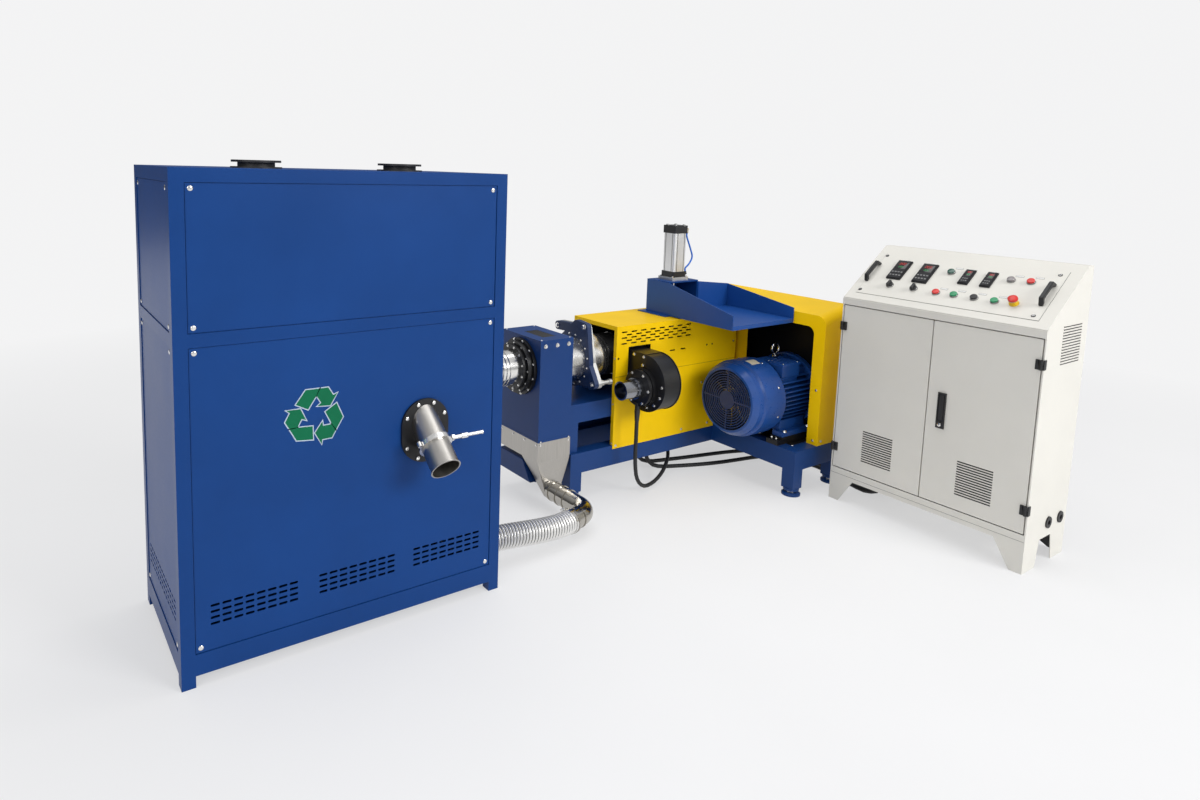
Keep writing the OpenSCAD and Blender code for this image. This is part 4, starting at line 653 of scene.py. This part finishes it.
# Tapered sleeves where the cables leave their glands
LONG_SLEEVE = [(10.6, 0), (15, 0), (14.8, 8), (13.6, 30), (11.8, 60), (10.6, 60)]
SHORT_SLEEVE = [(11.6, 0), (15, 0), (15, 6), (13.8, 14), (12.8, 26), (11.6, 26)]
sleeves = bmesh.new()
revolve(sleeves, LONG_SLEEVE, facing(BLOWER_ROUTE[0], "-z"), 24)
for place in (BLOWER_ROUTE[-1], FRONT_ROUTE[0], REAR_ROUTE[0], FRONT_ROUTE[-1], REAR_ROUTE[-1]):
    revolve(sleeves, SHORT_SLEEVE, facing(place, "-z"), 24)
piece("cable_sleeves", sleeves, black_moulding)

# ---------------- pellet cabinet

CAB_W, CAB_D, CAB_H = 1220, 648, 1700
FRAME_TUBE, SCREW_INSET, PANEL_IN = 45, 18, 3.0
LOW_PANEL, HIGH_PANEL = (114, 1138.5), (1183.5, 1655)


def side_place(side, along, high):
    """A point on the panels of one of the cabinet's four sides, with the way that side faces."""
    if side == "front":
        return (along, PANEL_IN, high), "-y"
    if side == "right":
        return (CAB_W - PANEL_IN, along, high), "x"
    if side == "back":
        return (CAB_W - along, CAB_D - PANEL_IN, high), "y"
    return (PANEL_IN, CAB_D - along, high), "-x"


screws = bmesh.new()
for side in ("front", "right", "back", "left"):
    wide = CAB_W if side in ("front", "back") else CAB_D
    for low, high in (LOW_PANEL, HIGH_PANEL):
        for along in (FRAME_TUBE + SCREW_INSET, wide - FRAME_TUBE - SCREW_INSET):
            for z in (low + SCREW_INSET, high - SCREW_INSET):
                place, way = side_place(side, along, z)
                dome(screws, place, way, 8.5, 3.0)
piece("panel_screws", screws, bright)

# Painted shade: a dark sheet, half the panel blue, inside the cabinet's open bottom
bottom_sheet = bmesh.new()
block_at(bottom_sheet, (1126, 554, 3), (CAB_W / 2, CAB_D / 2, 41), 0.5)
piece("cabinet_shade_sheet", bottom_sheet, enamel("blue sheet in painted shade", shade(PANEL_BLUE, 0.5), 0.5))

# The three bent arrows of the recycling sign, as a flat sheet on the lower front panel. The outlines
# of one third are for a circumradius of 1.
SIGN_X, SIGN_Z, SIGN_R = 452, 857, 106
FOLD = [(-0.65, 0.46), (-0.32, 0.91), (0.15, 0.90), (0.04, 0.66), (-0.24, 0.24)]
ARROW = [(0.17, 0.90), (0.44, 0.90), (0.61, 0.62), (0.76, 0.68), (0.51, 0.27), (0.06, 0.31),
         (0.19, 0.41), (0.04, 0.66)]


def spread(outline, by):
    """Moves the edges of a clockwise outline outwards."""
    out = []
    points = [Vector(point) for point in outline]
    for k, here in enumerate(points):
        before, after = points[k - 1], points[(k + 1) % len(points)]
        a, b = (here - before).normalized(), (after - here).normalized()
        side = Vector((-a.y, a.x)) + Vector((-b.y, b.x))
        out.append(here + side * (by / max(0.35, side.length_squared / 2)))
    return out


def turned(outline, degrees):
    a = math.radians(degrees)
    return [(x * math.cos(a) - z * math.sin(a), x * math.sin(a) + z * math.cos(a)) for x, z in outline]


def sign_piece(name, by, finish, out):
    """The whole sign, with its outlines moved outwards by a share of its radius."""
    bm = bmesh.new()
    for outline in [turned(third, a) for third in (FOLD, ARROW) for a in (0, 120, 240)]:
        spots = [(SIGN_X + SIGN_R * x, out, SIGN_Z + SIGN_R * z) for x, z in spread(outline, by)]
        bm.faces.new([bm.verts.new(spot) for spot in spots])
    piece(name, bm, finish, smooth=0)


sign_piece("recycling_sign_edge", 0.028, ink("sign pale edge", (0.42, 0.50, 0.60)), 2.7)
sign_piece("recycling_sign", -0.008, ink("sign green", (0.002, 0.135, 0.058)), 2.4)

OUTLET_X, OUTLET_Z, FLANGE_R, FLANGE_STRAIGHT = 874, 736, 84, 25
flange_screws = bmesh.new()
for k in range(8):
    a = 2 * math.pi * (k + 0.5) / 8
    high = FLANGE_R * math.cos(a) + math.copysign(FLANGE_STRAIGHT, math.cos(a))
    hex_bolt(flange_screws, (OUTLET_X + FLANGE_R * math.sin(a), -10, OUTLET_Z + high), "-y", 10, 5)
piece("outlet_flange_screws", flange_screws, bright)

PORTS_X, PORT_Y, SEGMENT_R, PORT_BOLT_R = (335, 885), 260, 71.5, 62
segments = bmesh.new()
for x in PORTS_X:
    for k in range(16):
        turn = Matrix.Rotation(2 * math.pi * k / 16, 4, "Z")
        spot = Matrix.Translation((x, PORT_Y, CAB_H + 25.5)) @ turn @ Matrix.Translation((SEGMENT_R, 0, 0))
        block(segments, (18, 24, 4.4), spot, 1.2)
piece("port_segments", segments, black_moulding)
port_bolts = bmesh.new()
for x in PORTS_X:
    for k in range(8):
        a = 2 * math.pi * (k + 0.5) / 8
        place = (x + PORT_BOLT_R * math.cos(a), PORT_Y + PORT_BOLT_R * math.sin(a), CAB_H + 22)
        hex_bolt(port_bolts, place, "z", 9, 5)
piece("port_bolts", port_bolts, bright)

# ---------------- hose from the chute to the cabinet

HOSE_FROM, HOSE_TO = Vector((1727.2, 173.8, 95)), Vector((1245, 172, 120))
HOSE_WAY = Vector((-0.9659, -0.2588, 0))
PULL = (HOSE_TO - HOSE_FROM).length / 3
HOSE_WAVES, RINGS_PER_WAVE = 31, 12
HOSE_R, WAVE, GROOVE_R = 51.0, 3.4, 49.0


def hose_point(t):
    """Point at a share of the hose, which leaves the elbow along its pipe and meets the cabinet squarely."""
    ends = (HOSE_FROM, HOSE_FROM + HOSE_WAY * PULL, HOSE_TO + Vector((PULL, 0, 0)), HOSE_TO)
    weights = ((1 - t) ** 3, 3 * t * (1 - t) ** 2, 3 * t * t * (1 - t), t ** 3)
    return sum((end * weight for end, weight in zip(ends, weights)), Vector((0, 0, 0)))


hose = bmesh.new()
hose_rings = HOSE_WAVES * RINGS_PER_WAVE
tube_along(hose, [hose_point(k / hose_rings) for k in range(hose_rings + 1)],
           lambda t: HOSE_R + WAVE * math.cos(2 * math.pi * HOSE_WAVES * t), 40)
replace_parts(piece("corrugated_hose", hose, finishes["hose_steel"], smooth=70), "transfer_hose")

# Painted shade: a dark tube sunk between the hose's waves
grooves = bmesh.new()
for k in range(HOSE_WAVES):
    tube_along(grooves, [hose_point((k + part) / HOSE_WAVES) for part in (0.36, 0.5, 0.64)], GROOVE_R, 40)
piece("hose_grooves", grooves, plastic("groove shade", (0.085, 0.085, 0.08), 0.6), smooth=70)

clips = bmesh.new()
for place, way in ((HOSE_FROM + HOSE_WAY * 2, HOSE_WAY), (HOSE_TO + Vector((18, 0, 0)), Vector((-1, 0, 0)))):
    spot = facing(place, way)
    revolve(clips, [(54.6, 0), (57.5, 0), (57.5, 14), (54.6, 14), (54.6, 0)], spot, 48)
    block(clips, (12, 26, 12), spot @ Matrix.Rotation(2.2, 4, "Z") @ Matrix.Translation((61, 0, 7)), 2)
piece("hose_clips", clips, bright)

# ---------------- pelletizing head

CUT_X0, CUT_X1, CUT_Y0, CUT_Y1, CUT_TOP, CUT_LOW = 1785, 1990, 523, 867, 875, 350
AXIS_Y, AXIS_Z = 695, 714
FLANGE_X, CLAMP_X, COVER_X, COVER_Y, COVER_BACK = 1723, 2118, 2274, 512, 878


def round_axis(bm, x, radius, count, first, across, height):
    """Bolts on a circle across the machine, the first at an angle in degrees from +Y."""
    for k in range(count):
        a = math.radians(first + 360 * k / count)
        hex_bolt(bm, (x, AXIS_Y + radius * math.cos(a), AXIS_Z + radius * math.sin(a)), "-x", across, height)


bolts = bmesh.new()
for x in (1815, 1888, 1960):
    hex_bolt(bolts, (x, CUT_Y0, 845), "-y", 15, 8)
for x in (CUT_X0 + 14, CUT_X1 - 14):
    hex_bolt(bolts, (x, CUT_Y0 - 0.8, CUT_LOW + 5), "-y", 8, 4, washer=False)
    hex_bolt(bolts, (x, CUT_Y0, CUT_LOW - 14), "-y", 9, 4)
for y in (CUT_Y0 + 16, CUT_Y0 + 120, CUT_Y1 - 120, CUT_Y1 - 16):
    hex_bolt(bolts, (CUT_X0, y, CUT_LOW - 14), "-x", 9, 4)
for x in (CUT_X0 + 14, CUT_X1 - 14):
    for y in (CUT_Y0 + 14, CUT_Y1 - 14):
        dome(bolts, (x, y, CUT_TOP), "z", 5, 2.4)
round_axis(bolts, FLANGE_X, 108, 12, 15, 9, 6)
round_axis(bolts, FLANGE_X + 18, 125, 12, 0, 7, 4)
round_axis(bolts, FLANGE_X + 44, 139.5, 12, 15, 10, 6)
piece("cutter_bolts", bolts, bright)

# The square beam below the cutter housing, cut along the back of the chute
beam = bmesh.new()
prism(beam, [(584, 120), (876, 120), (876, 224), (657, 224)], 77, Matrix.Translation((1787, 0, 0)) @ UPRIGHT)
round_edges(beam, 3)
piece("chute_beam", beam, finishes["blue_machine"])

lid_plate = bmesh.new()
block_at(lid_plate, (80, 168, 2.6), (CUT_X0 + 103, CUT_Y0 + 155, CUT_TOP - 1.6), 0.8)
piece("cutter_lid_plate", lid_plate, finishes["black_paint"])

head_bolts = bmesh.new()
for y, z in ((829, 872), (597, 903), (519, 610)):
    hex_bolt(head_bolts, (CLAMP_X, y, z), "-x", 20, 12)
round_axis(head_bolts, CLAMP_X, 135, 16, 11.25, 8, 5)
hex_bolt(head_bolts, (2250, 519, 610), "x", 18, 6)
for y, z in ((829, 872), (617, 895)):
    hex_bolt(head_bolts, (2168, y, z), "x", 20, 10)
piece("clamp_bolts", head_bolts, bright)

STRAP = [(114.6, 0), (116.4, 0), (116.4, 6), (114.6, 6), (114.6, 0)]
straps = bmesh.new()
for x in (2243, 2262, 2281, 2380):
    revolve(straps, STRAP, facing((x, AXIS_Y, AXIS_Z), "x"), 72)
piece("heater_band_straps", straps, steel)

# ---------------- barrel cover and blower

cover_bolts = bmesh.new()
for x, z in ((2294, 250), (2792, 257), (3007, 261), (2942, 514), (3198, 734)):
    hex_bolt(cover_bolts, (x, COVER_Y, z), "-y", 10, 5)
for z in (262, 480, 730):
    for y in (COVER_Y + 11, COVER_BACK - 11):
        hex_bolt(cover_bolts, (COVER_X, y, z), "-x", 7, 4)
piece("cover_bolts", cover_bolts, steel)

cover_seam = bmesh.new()
for x, length in ((2871.5, 697), (2318, 88)):
    block_at(cover_seam, (length, 0.8, 2.0), (x, COVER_Y - 0.3, 630), 0)
piece("cover_seam", cover_seam, ink("seam shadow", (0.30, 0.20, 0.01)), smooth=0)

BLOWER_Y, BLOWER_Z, BLOWER_X = 396, 615, 2375
blower_bolts = bmesh.new()
for k in range(6):
    a = math.radians(60 * k + 30)
    hex_bolt(blower_bolts, (2325, BLOWER_Y + 84 * math.sin(a), 594 - 84 * math.cos(a)), "-x", 11, 6)
for y, z in ((408, 752), (414, 706), (482, 752)):
    hex_bolt(blower_bolts, (BLOWER_X, y, z), "-x", 12, 6)
for degrees in (205, 232, 259, 286, 313, 340, 367, 178):
    a = math.radians(degrees)
    place = (BLOWER_X, BLOWER_Y + 130 * math.cos(a), BLOWER_Z + 130 * math.sin(a))
    hex_bolt(blower_bolts, place, "-x", 12, 6)
piece("blower_bolts", blower_bolts, bright)

# ---------------- feed box and ram

RAM_X, RAM_Y, RAM_TOP, RAM_FOOT = 2865, 705, 1418, 1118
SOCKET_SCREW = [(0, 0), (8, 0), (8, 5), (6.5, 6), (4, 6), (4, 3), (0, 3)]
ram_bolts = bmesh.new()
for x in (-33, 33):
    for y in (-33, 33):
        revolve(ram_bolts, SOCKET_SCREW, facing((RAM_X + x, RAM_Y + y, RAM_TOP), "z"), 20)
for x in (-56, 56):
    for y in (-48, 48):
        hex_bolt(ram_bolts, (RAM_X + x, RAM_Y + y, RAM_FOOT), "z", 10, 6)
piece("ram_bolts", ram_bolts, bright)

# ---------------- drive motor and its guard

MOTOR_X, MOTOR_Y, MOTOR_Z, RIM_R = 2856, 250, 490, 212
motor_screws = bmesh.new()
for degrees in (20, 65, 110, 155, 200, 245, 290, 335):
    a = math.radians(degrees)
    way = Vector((0, math.cos(a), math.sin(a)))
    dome(motor_screws, Vector((MOTOR_X + 192, MOTOR_Y, MOTOR_Z)) + way * (RIM_R - 0.5), way, 6.5, 3.5)
for x in (3130, 3254):
    for y in (101, 197):
        dome(motor_screws, (x, y, 690), "z", 5, 3)
for x in (3130, 3330):
    for y in (62, 438):
        hex_bolt(motor_screws, (x, y, 316), "z", 16, 10)
for y in (90, 120, 380, 410):
    hex_bolt(motor_screws, (3100, y, 278), "z", 13, 8)
piece("motor_screws", motor_screws, bright)

# The rating plate follows the round of the fan cover
PLATE_R, PLATE_STEPS, PLATE_FIRST, PLATE_ARC = RIM_R + 0.6, 10, 96, 14
rating = bmesh.new()
for k in range(PLATE_STEPS):
    spots = []
    for x in (2965, 3035):
        for part in (k / PLATE_STEPS, (k + 1) / PLATE_STEPS):
            a = math.radians(PLATE_FIRST + PLATE_ARC * part)
            spots.append(Vector((x, MOTOR_Y + PLATE_R * math.cos(a), MOTOR_Z + PLATE_R * math.sin(a))))
    rating.faces.new([rating.verts.new(spots[i]) for i in (0, 1, 3, 2)])
bmesh.ops.remove_doubles(rating, verts=rating.verts, dist=0.01)
piece("motor_plate", rating, ink("bare plate", (0.62, 0.56, 0.42)))

EYE_R, EYE_HIGH, EYE_THICK = 30, 49, 6.3
eye = bmesh.new()
spot = Matrix.Translation((3252, MOTOR_Y, MOTOR_Z + 199))
revolve(eye, [(0, 0), (17, 0), (17, 7), (14, 10), (9, 12), (9, 20), (0, 20)], spot, 32)
turns = [math.pi * k / 24 for k in range(49)]
tube_along(eye, [spot @ Vector((EYE_R * math.cos(a), 0, EYE_HIGH + EYE_R * math.sin(a))) for a in turns],
           EYE_THICK, 16, up=Vector((0, 1, 0)))
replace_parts(piece("lifting_ring", eye, bright), "lifting_eye")

guard_bolts = bmesh.new()
for z in (276, 560):
    hex_bolt(guard_bolts, (3250, -33, z), "-x", 10, 5)
for x in (3280, 3460):
    hex_bolt(guard_bolts, (x, -63, 276), "-y", 10, 5)
piece("guard_bolts", guard_bolts, steel)

# ---------------- control desk

DESK_X, DESK_Y, DESK_FRONT, DESK_RIGHT = 3250, -156, 1100, -1117
SLOPE = (Matrix.Translation((DESK_X, DESK_Y, DESK_FRONT)) @ Matrix.Rotation(-math.pi / 2, 4, "Z")
         @ Matrix.Rotation(math.atan2(258, 356), 4, "X"))
PLATE = 2.0


def on_slope(u, s, out=PLATE):
    """A frame on the operating plate, u along the desk's width and s up the slope."""
    return SLOPE @ Matrix.Translation((u, s, out))


CAP_R, CAP_LOW, CAP_HIGH = 16.2, 9.0, 16.0
# A push-button's cap or a lamp's lens, with a soft shoulder and a slightly raised crown
CAP = [(0, CAP_LOW), (CAP_R, CAP_LOW), (CAP_R, CAP_HIGH - 2), (CAP_R - 1.6, CAP_HIGH),
       (CAP_R * 0.5, CAP_HIGH + 0.96), (0, CAP_HIGH + 1.6)]
BEZEL = [(15.1, PLATE), (19, PLATE), (19, 7.4), (18, 9.2), (16.3, 9.2), (15.1, 9.2)]
RED_AT, GREEN_AT, BLACK_AT = ((785, 283), (425, 125)), ((510, 126), (694, 124)), ((603, 126),)
GREEN_LAMP_AT, GREY_LAMP_AT, SELECTORS_AT = ((426, 283),), ((702, 279),), ((186, 131), (311, 130))

red, green = signal("red cap", (0.62, 0.018, 0.012)), signal("green cap", (0.01, 0.26, 0.10))
grey_green_lens = signal("grey green lens", (0.035, 0.10, 0.075), 0.12)
grey_lens = signal("grey lens", (0.22, 0.20, 0.20), 0.12)
for name, spots, finish, slot in (
        ("red_buttons", RED_AT, red, "chrome_trim"),
        ("green_buttons", GREEN_AT, green, "chrome_trim"),
        ("black_button", BLACK_AT, black_moulding, "black_plastic"),
        ("green_lamp_lens", GREEN_LAMP_AT, grey_green_lens, "chrome_trim"),
        ("grey_lamp_lens", GREY_LAMP_AT, grey_lens, "chrome_trim")):
    bm = bmesh.new()
    for u, s in spots:
        revolve(bm, CAP, on_slope(u, s, 0), 32)
    piece(name, bm, finish)

bezels = bmesh.new()
for u, s in RED_AT + GREEN_AT + BLACK_AT + GREEN_LAMP_AT + GREY_LAMP_AT + SELECTORS_AT:
    revolve(bezels, BEZEL, on_slope(u, s, 0), 40)
piece("button_bezels", bezels, finishes["chrome_trim"])

HANDLE = [(0, 0), (0, 8), (18, 36), (132, 36), (150, 8), (150, 0),
          (134, 0), (134, 6), (124, 23), (26, 23), (16, 6), (16, 0)]
handles = bmesh.new()
for u in (51, 880):
    prism(handles, HANDLE, 18, on_slope(u - 9, 136) @ UPRIGHT)
round_edges(handles, 2.2)
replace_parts(piece("desk_handles", handles, black_moulding), "bridge_handles")

STOP_HEAD = [(0, 23), (12, 23), (20, 26), (21, 31), (20, 36), (15, 38.6), (8, 39.6), (0, 40)]
STOP_COLLAR = [(12.4, PLATE), (21, PLATE), (20.4, 8), (15, 10.5), (14, 21), (12.4, 21)]
signal_yellow = signal("signal yellow", (0.80, 0.50, 0.012))
for name, profile, finish, slot in (
        ("stop_button_head", STOP_HEAD, red, "chrome_trim"),
        ("stop_button_collar", STOP_COLLAR, signal_yellow, "yellow_paint")):
    bm = bmesh.new()
    revolve(bm, profile, on_slope(775, 129, 0), 40)
    piece(name, bm, finish)

knobs = bmesh.new()
for u, s in SELECTORS_AT:
    revolve(knobs, [(0, 9), (16.2, 9), (16.2, 15), (14.8, 16.5), (0, 16.5)], on_slope(u, s, 0), 32)
    block(knobs, (12, 34, 15), on_slope(u, s, 19.5), 2.0)
piece("selector_knobs", knobs, black_moulding)

labels, label_frames = bmesh.new(), bmesh.new()
for u, s in GREEN_LAMP_AT + GREY_LAMP_AT + RED_AT + GREEN_AT + BLACK_AT:
    block(label_frames, (34, 11, 0.5), on_slope(u + 24, s + 35, PLATE + 0.2), 0)
    block(labels, (32, 9, 0.5), on_slope(u + 24, s + 35, PLATE + 0.45), 0)
for u, s in ((511, 318), (612, 318), (177, 328), (312, 326)):
    block(label_frames, (44, 8, 0.5), on_slope(u, s, PLATE + 0.2), 0)
    block(labels, (42.4, 6.4, 0.5), on_slope(u, s, PLATE + 0.45), 0)
piece("label_frames", label_frames, ink("label edge", (0.10, 0.10, 0.10)), smooth=0)
piece("bare_labels", labels, ink("bare label", (0.70, 0.70, 0.68)), smooth=0)

# Bars of a lit figure: across and up from its middle, and whether the bar lies flat
SEGMENTS = {"0": "abcdef", "1": "bc", "2": "abged", "5": "afgcd", "8": "abcdefg"}
BARS = {"a": (0, 1, 1), "b": (0.5, 0.5, 0), "c": (0.5, -0.5, 0), "d": (0, -1, 1), "e": (-0.5, -0.5, 0),
        "f": (-0.5, 0.5, 0), "g": (0, 0, 1)}


def digits(bm, text, u, s, high, out):
    """A number in lit bars, centred on (u, s)."""
    pitch = high * 0.72
    for i, sign in enumerate(text):
        middle = u + (i - (len(text) - 1) / 2) * pitch
        for bar in SEGMENTS[sign]:
            x, z, flat = BARS[bar]
            size = (high * 0.40, high * 0.10, 0.4) if flat else (high * 0.10, high * 0.40, 0.4)
            block(bm, size, on_slope(middle + x * high * 0.46, s + z * high * 0.46, out), 0)


# Controllers: [place along the width, place up the slope, width, height, red and green figures, rows
# of keys]. A row is [place up the face as a share of the height, number of keys].
LARGE_KEYS, SMALL_KEYS = ((-0.16, 4), (-0.33, 4)), ((-0.16, 3), (-0.32, 3))
METERS = ((177, 250, 74, 143, "200", "205", LARGE_KEYS), (312, 248, 74, 143, "200", "205", LARGE_KEYS),
          (511, 260, 46, 104, "180", "180", SMALL_KEYS), (612, 260, 46, 104, "180", "180", SMALL_KEYS))
FACE = PLATE + 11
red_figures, green_figures, keys, windows = bmesh.new(), bmesh.new(), bmesh.new(), bmesh.new()
for u, s, w, h, red_text, green_text, rows in METERS:
    block(windows, (w - 18, h * 0.40, 0.8), on_slope(u, s + h * 0.22, FACE + 0.2), 0.3)
    digits(red_figures, red_text, u, s + h * 0.29, h * 0.115, FACE + 0.9)
    digits(green_figures, green_text, u, s + h * 0.12, h * 0.085, FACE + 0.9)
    for up, count in rows:
        for k in range(count):
            spot = on_slope(u + (k - (count - 1) / 2) * w * 0.21, s + h * up, FACE + 0.5)
            block(keys, (w * 0.13, h * 0.055, 1.4), spot, 0.4)
piece("meter_windows", windows, signal("smoked window", (0.012, 0.010, 0.010), 0.08))
piece("meter_red_figures", red_figures, signal("red figures", (0.50, 0.012, 0.010), 0.4, 0.2),
      smooth=0)
piece("meter_green_figures", green_figures, signal("green figures", (0.03, 0.28, 0.08), 0.4, 0.25),
      smooth=0)
piece("meter_keys", keys, signal("grey keys", (0.20, 0.20, 0.20), 0.45))

# A black ring under each plate screw, for the dark edge round its head
PLATE_SCREW = [(0, 0), (7, 0), (7, 2.4), (5.6, 3.4), (3.2, 3.4), (3.2, 1.2), (0, 1.2)]
PLATE_SCREW_RING = [(0, 0), (9.4, 0), (9.4, 0.8), (0, 0.8)]
plate_screws, plate_screw_rings = bmesh.new(), bmesh.new()
for u in (54, 877):
    for s in (71, 354):
        revolve(plate_screws, PLATE_SCREW, on_slope(u, s), 20)
        revolve(plate_screw_rings, PLATE_SCREW_RING, on_slope(u, s), 20)
piece("plate_screws", plate_screws, finishes["chrome_trim"])
piece("plate_screw_rings", plate_screw_rings, black_moulding)

skirt = bmesh.new()
block_at(skirt, (0.6, 955, 1.6), (DESK_X - 0.2, DESK_Y - 480.5, 147), 0)
piece("skirt_seam", skirt, ink("skirt line", (0.22, 0.22, 0.21)), smooth=0)

plate_seam = bmesh.new()
for s in (45.2, 381.8):
    block(plate_seam, (865, 1.8, 0.5), on_slope(475.5, s, 0.25), 0)
for u in (43.6, 907.4):
    block(plate_seam, (1.8, 338, 0.5), on_slope(u, 213.5, 0.25), 0)
piece("plate_seam", plate_seam, ink("seam line", (0.14, 0.14, 0.13)), smooth=0)

# Hinges: a fixed leaf on the desk's side, and a knuckle, a leaf and a link that turn with the door
HINGE_X, HINGES_Z, LEFT_PIVOT, RIGHT_PIVOT = DESK_X - 8, (292, 947), -164.5, -1108.5
KNUCKLE = [(3.4, 0.5), (7, 0.5), (7, 22), (3.4, 22), (3.4, 0.5)]
side_leaves = bmesh.new()
for z in HINGES_Z:
    for y in (-154.2, -1118.8):
        block_at(side_leaves, (22, 4.6, 44), (3254, y, z), 1.0)
piece("hinge_side_leaves", side_leaves, black_moulding)
for side, pivot, way in (("left", LEFT_PIVOT, -1), ("right", RIGHT_PIVOT, 1)):
    leaves = bmesh.new()
    for z in HINGES_Z:
        revolve(leaves, KNUCKLE, Matrix.Translation((HINGE_X, pivot, z)), 28)
        block_at(leaves, (8, 14.6, 44), (HINGE_X + 4, pivot + way * 16.1, z), 0.8)
        block_at(leaves, (3, 9, 21), (HINGE_X + 1.5, pivot + way * 8, z + 11.2), 0)
    made = piece(side + "_hinge_leaves", leaves, black_moulding, side + "_door_set")
    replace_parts(made, side + "_door_leaves")

LOUVRES = 14
LIP = [(-0.2, 2.9), (2.6, 0.9), (2.6, 0.1), (1.9, 0.1), (-0.2, 0.9)]
louvre_shade = ink("louvre shade", (0.010, 0.010, 0.010))


def louvres(name, x, y, low, rise, lift, length, gap, outwards, body="plant"):
    """Lips pressed out over a row of slots, and the dark opening below each. (x, y) is the end of the
    slots, low the height of the row's foot, and lift that of a slot's top edge above its own foot."""
    lips, gaps = bmesh.new(), bmesh.new()
    for k in range(LOUVRES):
        spot = Matrix.Translation((x, y, low + k * rise / LOUVRES + lift)) @ outwards
        prism(lips, LIP, length, spot)
        # Painted shade: a black strip in the opening under each lip
        prism(gaps, [(0.05, 0.3), (0.45, 0.3), (0.45, -gap), (0.05, -gap)], length, spot)
    piece(name + "s", lips, finishes["grey_paint"], body, smooth=0)
    piece(name + "_gaps", gaps, louvre_shade, body, smooth=0)


for side, middle in (("left", DESK_Y - 248), ("right", DESK_Y - 726)):
    body = side + "_door_set"
    louvres(side + "_door_louvre", DESK_X, middle - 80, 257, 170, 4.9, 160, 6.6, OUT_OF_DOOR, body)
    # A black board behind the slots: painted shade of the door's inside
    board = bmesh.new()
    block_at(board, (1, 166, 176), (DESK_X + 4.0, middle, 339), 0.2)
    piece(side + "_door_filter", board, black_moulding, body)
louvres("side_louvre", DESK_X + 345, DESK_RIGHT, 925, 180, 8.7, 187, 5.6, OUT_OF_SIDE)
# A black board behind the side slots: painted shade of the desk's inside
board = bmesh.new()
block_at(board, (193, 1, 186), (DESK_X + 251.5, DESK_RIGHT + 6.7, 1015), 0.2)
piece("side_shade_board", board, black_moulding)

# Black plates inside the rear feet: painted shade on their inner faces
FOOT_SHADE_OUTLINE = [(0, 0.5), (54, 0.5), (112, 30), (160, 64), (192, 98), (203, 124), (0, 124)]
foot_shade_plates = bmesh.new()
for y, way in ((DESK_RIGHT + 3.2, 1), (DESK_Y - 3.2, -1)):
    prism(foot_shade_plates, [(z, y + way * w) for w, z in FOOT_SHADE_OUTLINE], 1.2, Matrix.Translation((3650.6, 0, 0)) @ EDGEWISE)
piece("rear_foot_shade_plates", foot_shade_plates, black_moulding, smooth=0)

LOCK_Y, LOCK_Z = -708.5, 567
LOCK_CAP = [(0, 0), (8.4, 0), (8.4, 2.2), (7.2, 3), (0, 3)]
lock = bmesh.new()
revolve(lock, LOCK_CAP, facing((DESK_X - 11, LOCK_Y, LOCK_Z), "-x"), 28)
piece("lock_barrel", lock, bright, "right_door_set")
# The key slot, a black strip: painted shade in the keyway
slit = bmesh.new()
block_at(slit, (0.6, 1.6, 8), (DESK_X - 14.2, LOCK_Y, LOCK_Z), 0)
piece("lock_slit", slit, black_moulding, "right_door_set", smooth=0)

SEAL = [(10.5, 0), (13.9, 0), (13.9, 5), (10.5, 5), (10.5, 0)]
SEAL_NUT = [(20, 0), (24, 0), (24, 1.6), (20, 1.6), (20, 0)]
seals = bmesh.new()
for x, z in ((217, 192), (338, 190)):
    revolve(seals, SEAL, facing((DESK_X + x, DESK_RIGHT - 0.8, z), "-y"), 28)
    revolve(seals, SEAL_NUT, facing((DESK_X + x, DESK_RIGHT - 4.3, z), "-y"), 6)
piece("gland_seals", seals, rubber)

# A black sheet that closes the frame below the motor: painted shade where the floor would show through
under_motor_shade = bmesh.new()
block_at(under_motor_shade, (338, 372, 2), (3237, 215, 247), 0)
piece("motor_shade_sheet", under_motor_shade, finishes["black_paint"], smooth=0)

# ---------------- feet

LEG = 75
FOOT_NUT = [(27, 19), (30, 19), (30, 27), (27, 27), (27, 19)]
nuts = bmesh.new()
for x, y in ((1993, 515), (1993, 800), (3413, 800), (3062, -63), (3413, -63)):
    revolve(nuts, FOOT_NUT, Matrix.Translation((x + LEG / 2, y + LEG / 2, 0)), 6)
piece("foot_nuts", nuts, bright)
